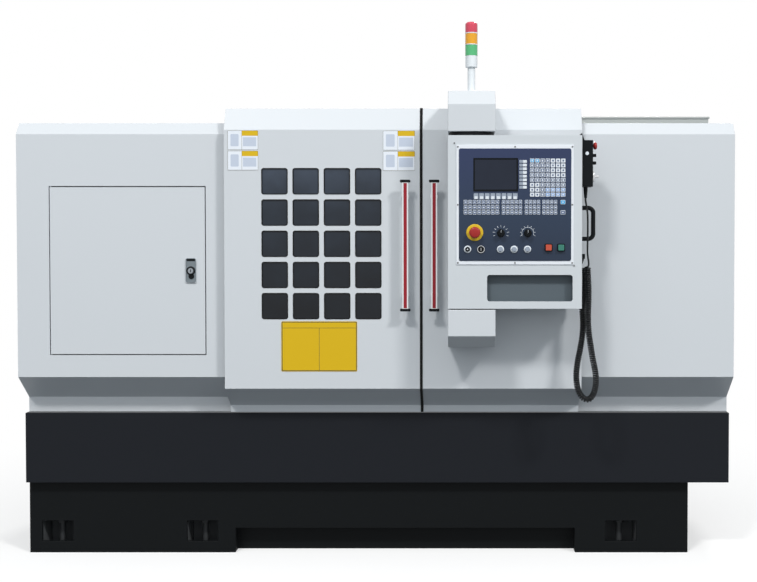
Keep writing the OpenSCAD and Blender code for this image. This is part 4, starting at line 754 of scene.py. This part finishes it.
# Control panel box and frame: a folded sheet box with a recessed pocket, painted like the covers.
# A white frame is held on its front by small screws.
panel_paint = surface("panel_paint", (0.570, 0.602, 0.626, 1), 0.40, peel, Specular_IOR_Level=0.4)
pocket_paint = surface("pocket_paint", (0.087, 0.110, 0.127, 1), 0.5, peel, Specular_IOR_Level=0.3)
frame_paint = surface("frame_paint", (0.74, 0.77, 0.81, 1), 0.4, peel)
coat(panel_paint, "panel_box")
coat(frame_paint, "control_frame")
low, high = box_of("panel_box")
pocket = ((low[0] + 0.13, high[0] - 0.03), (low[1] + 0.001, low[1] + 0.0315), (low[2] + 0.02, low[2] + 0.125))
box = softened("panel_box", 0.0030, angle=18, segments=3)
machined(box, pocket_paint, lambda p, n: all(a < c < b for c, (a, b) in zip(p, pocket)))
softened("control_frame", 0.0008)


def screw_shape(put, join, given):
    """A round head with a sunk socket."""
    disc = put("GeometryNodeMeshCircle")
    disc.fill_type = "NGON"
    disc.inputs["Vertices"].default_value = 16
    join(given["Radius"], disc.inputs["Radius"])
    head = put("GeometryNodeExtrudeMesh")
    join(disc.outputs[0], head.inputs["Mesh"])
    join(given["Thick"], head.inputs["Offset Scale"])
    inset = put("GeometryNodeExtrudeMesh")
    inset.inputs["Offset Scale"].default_value = 0.0
    join(head.outputs["Mesh"], inset.inputs["Mesh"])
    join(head.outputs["Top"], inset.inputs["Selection"])
    rim = put("GeometryNodeScaleElements")
    rim.inputs["Scale"].default_value = 0.55
    join(inset.outputs["Mesh"], rim.inputs["Geometry"])
    join(inset.outputs["Top"], rim.inputs["Selection"])
    socket = put("GeometryNodeExtrudeMesh")
    sunk = put("ShaderNodeMath")
    sunk.operation = "MULTIPLY"
    sunk.inputs[1].default_value = -0.7
    join(given["Thick"], sunk.inputs[0])
    join(rim.outputs[0], socket.inputs["Mesh"])
    join(inset.outputs["Top"], socket.inputs["Selection"])
    join(sunk.outputs[0], socket.inputs["Offset Scale"])
    return socket.outputs["Mesh"]


screw_tree = field_tree("screw_field", {"Radius": 0.003, "Thick": 0.0012}, screw_shape)
frame_low, frame_high = box_of("control_frame")
across = (frame_low[0] + 0.005, (frame_low[0] + frame_high[0]) / 2, frame_high[0] - 0.005)
upward = (frame_low[2] + 0.006, (frame_low[2] + frame_high[2]) / 2, frame_high[2] - 0.007)
spots = [(x, frame_low[1], z) for x in across for z in upward if (x, z) != (across[1], upward[1])]
spots += [(low[0] + 0.023, low[1], high[2] - 0.028), (high[0] - 0.028, low[1], low[2] + 0.153)]
field("panel_screws", screw_tree, spots, {"Radius": 0.0030, "Thick": 0.0016}, dark_steel, "panel")

# Control face: a slate-blue printed film on a steel plate inside the frame.
# A dark screen stands in it behind a black bezel.
face_film = surface("face_film", (0.019, 0.032, 0.072, 1), 0.42, {**peel, "Grain Scale": 1500.0},
                    Specular_IOR_Level=0.3)
face, face_top = box_of("control_face")
graded(face_film, face[2], face_top[2], ((0.0, (0.015, 0.026, 0.050)), (0.42, (0.019, 0.034, 0.066)),
                                         (1.0, (0.022, 0.034, 0.090))))
coat(face_film, "control_face")
softened("control_face", 0.0005)
screen_glass = surface("screen_glass", (0.0140, 0.0190, 0.0330, 1), 0.12,
                       {"Grain": 0.0, "Shade": 0.25, "Patch": 14.0}, Specular_IOR_Level=0.2)
x = (face[0] + 0.0512, face[0] + 0.2088)
z = (face[2] + 0.2452, face[2] + 0.3628)
bm = bmesh.new()
hoop(bm, rounded(x, z, 0.002), rounded((x[0] + 0.005, x[1] - 0.005), (z[0] + 0.007, z[1] - 0.005), 0.002),
     (face[1] - 0.0008, face[1] + 0.0011), 1)
prism(bm, rounded((x[0] + 0.004, x[1] - 0.004), (z[0] + 0.006, z[1] - 0.004), 0.002),
      (face[1] + 0.0002, face[1] + 0.0011))
piece("screen", "panel", bm, [screen_glass, black_plastic], 0.0003)


# Keys: domed membrane keys in groups on the face, with a white edge, a coloured field and a plain mark.
# Groups give left, right, lower and upper edge from the face's lower left corner in mm, columns and rows.
def key_shape(put, join, given):
    """A rounded rectangle raised into a closed block."""
    filled = put("GeometryNodeFillCurve")
    filled.mode = "NGONS"
    raised = put("GeometryNodeExtrudeMesh")
    raised.inputs["Individual"].default_value = False
    under = put("GeometryNodeFlipFaces")
    both = put("GeometryNodeJoinGeometry")
    closed = put("GeometryNodeMergeByDistance")
    closed.inputs["Distance"].default_value = 1e-6
    join(round_rect_curve(put, join, given), filled.inputs["Curve"])
    join(filled.outputs[0], raised.inputs["Mesh"])
    join(given["Thick"], raised.inputs["Offset Scale"])
    join(filled.outputs[0], under.inputs["Mesh"])
    join(raised.outputs[0], both.inputs[0])
    join(under.outputs[0], both.inputs[0])
    join(both.outputs[0], closed.inputs["Geometry"])
    return closed.outputs[0]


key_tree = field_tree("key_field", {"Width": 0.01, "Height": 0.01, "Corner": 0.001, "Thick": 0.001},
                      key_shape)
key_white = surface("key_plastic", lin(214, 220, 226), 0.45, peel)
key_grey = surface("key_grey", lin(142, 152, 166), 0.45, peel)
key_slate = surface("key_slate", lin(84, 98, 128), 0.45, peel)
key_blue = surface("key_blue", lin(112, 150, 204), 0.45, peel)
key_cyan = surface("key_cyan", lin(62, 160, 212), 0.45, peel)
coat(key_white, "keypad", "function_buttons")
gap, key_out = 3.0, 1.5


def key_spots(group, columns, rows, out, shift=(0, 0)):
    """Middles of some keys of a group, this far out from the face, in metres."""
    x0, x1, z0, z1, n, m = group
    w, h = (x1 - x0 + gap) / n, (z1 - z0 + gap) / m
    return [(face[0] + (x0 + (i + 0.5) * w - gap / 2 + shift[0]) / 1000, face[1] - out / 1000,
             face[2] + (z0 + (j + 0.5) * h - gap / 2 + shift[1]) / 1000) for i in columns for j in rows]


def key_size(group, cut, thick, corner):
    """Sizes of a group's keys, less a cut in width and in height, from mm to metres."""
    x0, x1, z0, z1, n, m = group
    return {"Width": ((x1 - x0 + gap) / n - gap - cut[0]) / 1000,
            "Height": ((z1 - z0 + gap) / m - gap - cut[1]) / 1000,
            "Thick": thick / 1000, "Corner": corner / 1000}


def keys(name, spots, sizes, material, width=0.0, replaces=()):
    """One piece of like keys, or of like fields or marks on keys."""
    field(name, key_tree, spots, sizes, material, "panel", width, replaces)


soft_row, menu_column = (52, 207, 218, 239, 8, 1), (213, 240, 255, 356, 1, 8)
letters = (251, 376, 227, 361, 7, 8)
machine_rows = [(17, 142, 200, 215, 8, 1), (152, 223, 200, 215, 5, 1), (233, 287, 200, 215, 4, 1),
                (295, 347, 200, 215, 4, 1), (17, 142, 164, 196, 8, 2), (152, 223, 164, 196, 5, 2),
                (233, 287, 164, 196, 4, 2), (295, 347, 164, 196, 4, 2), (359, 376, 200, 215, 1, 1),
                (359, 376, 164, 178.5, 1, 1)]
for k, group in enumerate([soft_row, menu_column, letters] + machine_rows):
    spots = key_spots(group, range(group[4]), range(group[5]), 0)
    keys(f"keys_{k}", spots, key_size(group, (0, 0), 1.5, 1.5), key_grey if k < 2 else key_white, 0.0004,
         ["keypad"])
keys("soft_keys", key_spots(soft_row, range(8), [0], key_out, (0, -5.2)),
     key_size(soft_row, (5, 11), 0.5, 1.0), key_white, 0.0002, ["keypad"])
keys("menu_keys", key_spots(menu_column, [0], range(8), key_out, (6.5, 0)),
     key_size(menu_column, (14, 0.5), 0.5, 1.0), key_white, 0.0002, ["keypad"])
letter_mark = {"Width": 0.0052, "Height": 0.0062, "Corner": 0.001, "Thick": 0.0001}
dark_mark = {**letter_mark, "Width": 0.0055, "Height": 0.0065}
machine_mark = {"Width": 0.0058, "Height": 0.0034, "Corner": 0.0008, "Thick": 0.0001}
slate_blocks = ((range(0, 4), range(3, 7)), (range(2, 4), [7]), (range(4, 7), range(2, 4)),
                ([2], range(0, 3)), ([3], [2]))
fills = (("key_plates_slate", key_slate, slate_blocks),
         ("key_plates_blue", key_blue, ((range(3, 7), range(0, 2)),)),
         ("key_plates_cyan", key_cyan, ((range(0, 2), [7]),)))
for name, fill, blocks in fills:
    spots = [s for columns, rows in blocks for s in key_spots(letters, columns, rows, key_out)]
    keys(name, spots, key_size(letters, (3.4, 3.4), 0.15, 1.0), fill)
    keys(name + "_marks", [(x, y - 0.00015, z) for x, y, z in spots], letter_mark, key_white)
dark = [s for columns, rows in ((range(4, 7), range(4, 8)), (range(0, 2), range(0, 3)))
        for s in key_spots(letters, columns, rows, key_out)]
keys("key_marks_dark", dark, dark_mark, key_slate)
for k, group in enumerate(machine_rows):
    spots = key_spots(group, range(group[4]), range(group[5]), key_out)
    fill = key_cyan if k == 8 else key_slate
    keys(f"machine_fields_{k}", spots, key_size(group, (2.2, 2.6), 0.12, 0.8), fill)
    keys(f"machine_marks_{k}", [(x, y - 0.00012, z) for x, y, z in spots], machine_mark, key_white)

# Switches: a red mushroom stop on a yellow ring, two black knobs over printed dials, five round buttons
# and two square ones, the red one's glow painted into its cap's colour. Each is held by a nut behind the
# face.
red_plastic = surface("red_plastic", (0.32, 0.014, 0.012, 1), 0.34, peel, Specular_IOR_Level=0.35)
yellow_plastic = surface("yellow_plastic", (0.66, 0.44, 0.016, 1), 0.38, peel, Specular_IOR_Level=0.35)
green_plastic = surface("green_plastic", (0.012, 0.16, 0.115, 1), 0.32, peel, Coat_Weight=0.3)
coat(red_plastic, "e_stop_button", "stop_button", "pendant_stop")
coat(yellow_plastic, "stop_ring")
coat(green_plastic, "start_button")
coat(black_plastic, "feed_knob", "spindle_knob")
low, high = box_of("e_stop_button")
mushroom = [(0, 0), (7.6, 0), (8, 0.5), (8, 17.3), (13.6, 17.3), (14, 17.8), (14, 25), (14.6, 26.2),
            (18.8, 28.8), (19.7, 29.8), (20, 31), (20, 34.5), (19.4, 36.4), (17.8, 38.4), (16, 39.6),
            (12, 40.5), (6, 41.1), (0, 41.3)]
bm = bmesh.new()
turned(bm, ((low[0] + high[0]) / 2, high[1], (low[2] + high[2]) / 2), forward,
       [(r / 1000, h / 1000) for r, h in mushroom], 56)
piece("e_stop_mushroom", home["e_stop_button"], bm, [red_plastic], 0.0, ["e_stop_button"],
      angle=40)
softened("stop_ring", 0.0008)


def dial_turns(count):
    """Angles of places spread evenly over a dial, from its lower left to its lower right."""
    return [math.radians(200 - 220 * k / (count - 1)) for k in range(count)]


feed_x, speed_x, dial_z = face[0] + 0.1485, face[0] + 0.2437, face[2] + 0.098
tick_half = 0.0006
printed = (face[1] - 0.00012, face[1] + 0.0001)
bm = bmesh.new()
for dial_x, r0, r1 in ((feed_x, 0.021, 0.0285), (speed_x, 0.0225, 0.0275)):
    for a in dial_turns(9):
        u = Vector((math.cos(a), math.sin(a)))
        v = tick_half * Vector((-u[1], u[0]))
        prism(bm, [(dial_x + p[0], dial_z + p[1]) for p in (r0 * u - v, r1 * u - v, r1 * u + v, r0 * u + v)],
              printed)
arc = [(speed_x + r * math.cos(a), dial_z + r * math.sin(a))
       for r, turns in ((0.0215, dial_turns(41)), (0.0203, dial_turns(41)[::-1])) for a in turns]
prism(bm, arc, printed)
piece("dial_marks", "panel", bm, [key_white])
for node in ("feed_knob", "spindle_knob"):
    softened(node, 0.0008)
    low, high = box_of(node)
    cx, cz = (low[0] + high[0]) / 2, (low[2] + high[2]) / 2
    bm = bmesh.new()
    prism(bm, rounded((cx - 0.0006, cx + 0.0006), (cz + 0.002, cz + 0.0105), 0.0004),
          (low[1] - 0.0001, low[1] + 0.0003))
    piece(node + "_line", home[node], bm, [key_white])
chrome = surface("rim_chrome", (0.66, 0.67, 0.68, 1), 0.18, {**ground, "Grain": 0.04}, Metallic=1.0)
bezel = [(0.0085, 0), (0.013, 0), (0.013, 0.0022), (0.0118, 0.0040), (0.0088, 0.0044), (0.0085, 0)]
cap = [(0, 0.0005), (0.0084, 0.0005), (0.0084, 0.0075), (0.0074, 0.0088), (0, 0.0090)]
key_rim = [(0.0112, 0.0038), (0.0130, 0.0030), (0.0130, 0.0046), (0.0112, 0.0050), (0.0112, 0.0038)]
button_z = face[2] + 0.041
bm = bmesh.new()
for k, across in enumerate((0.0306, 0.078, 0.147, 0.195, 0.2426)):
    at = (face[0] + across, face[1], button_z)
    turned(bm, at, forward, bezel, 40, 2 if k == 1 else 0)
    turned(bm, at, forward, cap, 36, 2 if k < 2 else 1)
    if k == 1:
        turned(bm, at, forward, key_rim, 40, 3)
        prism(bm, around(at, 0.0008, 0.0055, 0.0005), (at[1] - 0.0098, at[1] - 0.0085), 3)
    elif k == 0:
        prism(bm, around(at, 0.0022, 0.0022, 0.002), (at[1] - 0.0093, at[1] - 0.0085), 0)
bmesh.ops.remove_doubles(bm, verts=bm.verts, dist=1e-7)
piece("round_buttons", "panel", bm, [key_white, key_grey, black_plastic, chrome], 0.0,
      ["function_buttons"], angle=25)
# Painted glow: the red square cap is a brighter orange-red than the plastic, standing in for its lamp.
glow_painted_red = surface("glow_painted_red", (0.50, 0.070, 0.034, 1), 0.30, peel, Specular_IOR_Level=0.4)
stem = [(0, 0), (0.008, 0), (0.008, 0.0165), (0, 0.0165)]
for node, cap_paint in (("stop_button", glow_painted_red), ("start_button", green_plastic)):
    low, high = box_of(node)
    at = ((low[0] + high[0]) / 2, low[1] + 0.006, (low[2] + high[2]) / 2)
    bm = bmesh.new()
    prism(bm, around(at, 0.0105, 0.0105, 0.003), (low[1], low[1] + 0.0062))
    turned(bm, at, (0, 1, 0), stem, 24)
    piece(node + "_cap", home[node], bm, [cap_paint], 0.0012, [node])
    bm = bmesh.new()
    hoop(bm, around(at, 0.0138, 0.0138, 0.004), around(at, 0.0112, 0.0112, 0.0032),
         (face[1] - 0.003, face[1]))
    piece(node + "_bezel", "panel", bm, [black_plastic], 0.0006)

# Side handle and pendant: a bent black grip, and a hand-held box in its holder with a stop, two knobs
# and a pulse wheel. The holder is screwed to the panel's side.
coat(black_plastic, "side_handle", "pendant", "cord_glands")
wheel_metal = surface("wheel_metal", (0.66, 0.67, 0.68, 1), 0.32, ground, Metallic=0.7)
coat(wheel_metal, "pendant_handwheel")
softened("side_handle", 0.0006)
softened("pendant", 0.0025, segments=3)
softened("pendant_handwheel", 0.0008)
softened("pendant_stop", 0.0010)
pilot = (face[0] + 0.456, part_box("pendant")[0][1] + 0.0005, face[2] + 0.3815)
bm = bmesh.new()
turned(bm, pilot, forward, [(0, 0), (0.0064, 0), (0.0064, 0.0015), (0.0055, 0.0022), (0, 0.0024)], 32)
piece("pendant_pilot", "panel", bm, [key_white])

# Cord: one 7 mm rubber lead from the gland to the pendant, wound into a springy curl over most of its way.
# The curl hangs in a loop under the panel; both ends are straight. The points of its way are in mm from the
# panel's lower right corner.
cord_rubber = surface("cord_rubber", (0.0034, 0.0048, 0.0062, 1), 0.30, peel, Specular_IOR_Level=0.30)
coat(cord_rubber, "cord_leads", "curly_cord")
lead_r, coil_r, coil_pitch, turn_points = 0.0035, 0.0085, 0.0080, 14
wind_span, wind_hop = 0.018, 0.0012
corner = face + Vector((0.436, 0.005, -0.170))
curl_route = [(15, 97, 153), (15, 97, 147), (17.5, 97, 135), (20, 97, 120), (21, 97, 99), (19.5, 97, 63),
              (16.5, 97, 27), (13.5, 97, 2), (12, 97, -17), (13.5, 96, -39), (14, 95, -64), (12, 93, -100),
              (5, 91, -144), (-4.5, 89, -191), (-10, 87, -231), (-10.2, 85, -263), (-6, 84, -292),
              (3, 82, -314), (15.5, 81, -328.5), (28, 80, -333), (40, 78, -328), (51, 76, -311.5),
              (57, 74, -289.5), (59, 72, -261), (56, 70, -228), (47.5, 68, -189), (39.5, 66, -142),
              (33, 65, -98.5), (29.5, 64, -62.5), (29, 63, -16), (30.5, 63, 28), (30.5, 63, 64),
              (29, 63, 100), (27.5, 63, 130), (26.5, 63, 150), (26.5, 63, 158)]
gland_end = [(12, 97, 167.5), (12, 97, 160), (12, 97, 153)]
pendant_end = [(26.5, 63, 158), (26.5, 63, 166), (26, 63, 190), (26.8, 63, 244), (27, 63, 298),
               (26, 63.5, 340), (22, 64.5, 368), (19, 65, 386), (19, 65, 394)]


def smooth_way(points, steps):
    """A Catmull-Rom line through the points."""
    way = []
    for i in range(len(points) - 1):
        a, b, c, d = (points[min(max(k, 0), len(points) - 1)] for k in (i - 1, i, i + 1, i + 2))
        for k in range(steps):
            t = k / steps
            way.append(0.5 * ((2 * b) + (c - a) * t + (2 * a - 5 * b + 4 * c - d) * t * t
                              + (3 * b - a - 3 * c + d) * t ** 3))
    way.append(points[-1])
    return way


way = smooth_way([corner + Vector(p) / 1000 for p in curl_route], 12)
run = [0.0]
for a, b in zip(way, way[1:]):
    run.append(run[-1] + (b - a).length)
steep = math.atan2(coil_pitch, 2 * math.pi * coil_r)
full_hop = math.hypot(coil_pitch, 2 * math.pi * coil_r) / turn_points
coil = []
spot = 0
s = turn = arc = 0.0
wound = unwound = None
while s < run[-1]:
    while spot < len(run) - 2 and run[spot + 1] < s:
        spot += 1
    at = way[spot].lerp(way[spot + 1], (s - run[spot]) / (run[spot + 1] - run[spot]))
    ahead = (way[spot + 1] - way[spot]).normalized()
    u = Vector((0, 1, 0)).cross(ahead).normalized()
    v = ahead.cross(u)
    coil.append(at + coil_r * (math.cos(turn) * u + math.sin(turn) * v))
    if wound is None and arc >= wind_span:
        wound = s
    if wound and unwound is None and s > run[-1] - wound:
        unwound = arc
    lean = min(1.0, arc / wind_span) if unwound is None else max(0.0, 1 - (arc - unwound) / wind_span)
    angle = math.pi / 2 + (steep - math.pi / 2) * lean * lean * (3 - 2 * lean)
    hop = full_hop if lean == 1.0 else wind_hop
    s += hop * math.sin(angle)
    turn += hop * math.cos(angle) / coil_r
    arc += hop


def led_in(spots, end, span):
    """A straight lead that moves over from its own line to the coil's first point within the span."""
    line = smooth_way([corner + Vector(p) / 1000 for p in spots], 4)
    led = []
    for p in line:
        near = min(1.0, (p - line[-1]).length / span)
        led.append(p + (end - line[-1]) * (1 - near * near * (3 - 2 * near)))
    return led


to_pendant = led_in(pendant_end[::-1], coil[-1], 0.045)[:-1][::-1]
points = led_in(gland_end, coil[0], 0.0145)[:-1] + coil + to_pendant
curve = bpy.data.curves.new("cord", "CURVE")
curve.dimensions = "3D"
curve.bevel_depth = lead_r
curve.bevel_resolution = 2
curve.use_fill_caps = True
line = curve.splines.new("POLY")
line.points.add(len(points) - 1)
for p, at in zip(line.points, points):
    p.co = (*at, 1)
line.use_smooth = True
curve.materials.append(cord_rubber)
cord = bpy.data.objects.new("cord", curve)
scene.collection.objects.link(cord)
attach(cord, "panel")
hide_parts("cord_leads", "curly_cord")

# Electrical cabinet on the back: a folded sheet box with a hinged door, coated like the covers.
# It is screwed to the rear guard, and louvres are pressed into its door in four groups.
coat(light_paint, "electrical_cabinet", "cabinet_door")
softened("electrical_cabinet", 0.0012)
softened("cabinet_door", 0.0012)
low, high = box_of("cabinet_door")
louvre = {"Width": 0.150, "Height": 0.010, "Thick": 0.004, "Corner": 0.0045}
painted_shade_slit = {"Width": 0.142, "Height": 0.0022, "Thick": 0.0003, "Corner": 0.001}
louvre_pitch, louvre_rows, painted_shade_drop = 0.022, 8, 0.0062


def louvres(name, shade_name, spots, node, turn):
    """Pressed louvres on a node's sheet, each with a black strip under its lip as painted shade in its
    opening.
    """
    field(name, key_tree, spots, louvre, light_paint, home[node], 0.0012, turn=turn)
    # Painted shade: a thin black strip stands in each louvre's opening, where its inside is shaded.
    under = [(x, y, z - painted_shade_drop) for x, y, z in spots]
    field(shade_name, key_tree, under, painted_shade_slit, black_rubber, home[node], turn=turn)


sheet_y, from_edge, group_x = low[1] + 0.0157, 0.14, (0.30, 0.70)
spots = [(low[0] + x, sheet_y, z + step * k)
         for z, step in ((high[2] - from_edge, -louvre_pitch), (low[2] + from_edge, louvre_pitch))
         for x in group_x for k in range(louvre_rows)]
louvres("cabinet_louvres", "louvre_painted_shade", spots, "cabinet_door", 180)

# Fixings and vents of the enclosure: button-head screws that hold the covers and the rear guard to the tray's
# rim and to each other, on the back and the two ends, and louvres pressed into both ends.
low, high = box_of("chip_pan")
rim_z = high[2] + 0.022
top_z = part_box("rear_guard")[1][2] - 0.030
cabinet_x = (-0.16, 0.96)
seam_z, seam_pitch = 0.82, 0.27
rim_y, rim_pitch = -0.40, 0.22
vent_y, vent_z = (0.10, 0.30), 0.78
button = {"Radius": 0.0055, "Thick": 0.0030}
for node, ends in (
    ("left_cover", (low[0] + 0.03, -0.555)), ("rear_guard", (-0.505, 0.715)),
    ("right_cover", (0.765, high[0] - 0.03)),
):
    columns = [ends[0] + (ends[1] - ends[0]) * k / 3 for k in range(4)]
    spots = [(x, high[1], z) for x in columns for z in (rim_z, top_z)
             if z == top_z or not cabinet_x[0] < x < cabinet_x[1]]
    spots += [(x, high[1], seam_z + seam_pitch * k) for x in ends for k in range(3)
              if not cabinet_x[0] < x < cabinet_x[1]]
    field(node + "_back_screws", screw_tree, spots, button, dark_steel, home[node], turn=180)
for node, x, turn in (("left_cover", low[0], -90), ("right_cover", high[0], 90)):
    vents = [(x, y, vent_z + louvre_pitch * k) for y in vent_y for k in range(louvre_rows)]
    louvres(node + "_louvres", node + "_painted_shade", vents, node, turn)
    spots = [(x, rim_y + rim_pitch * k, rim_z) for k in range(5)]
    field(node + "_end_screws", screw_tree, spots, button, dark_steel, home[node], turn=turn)
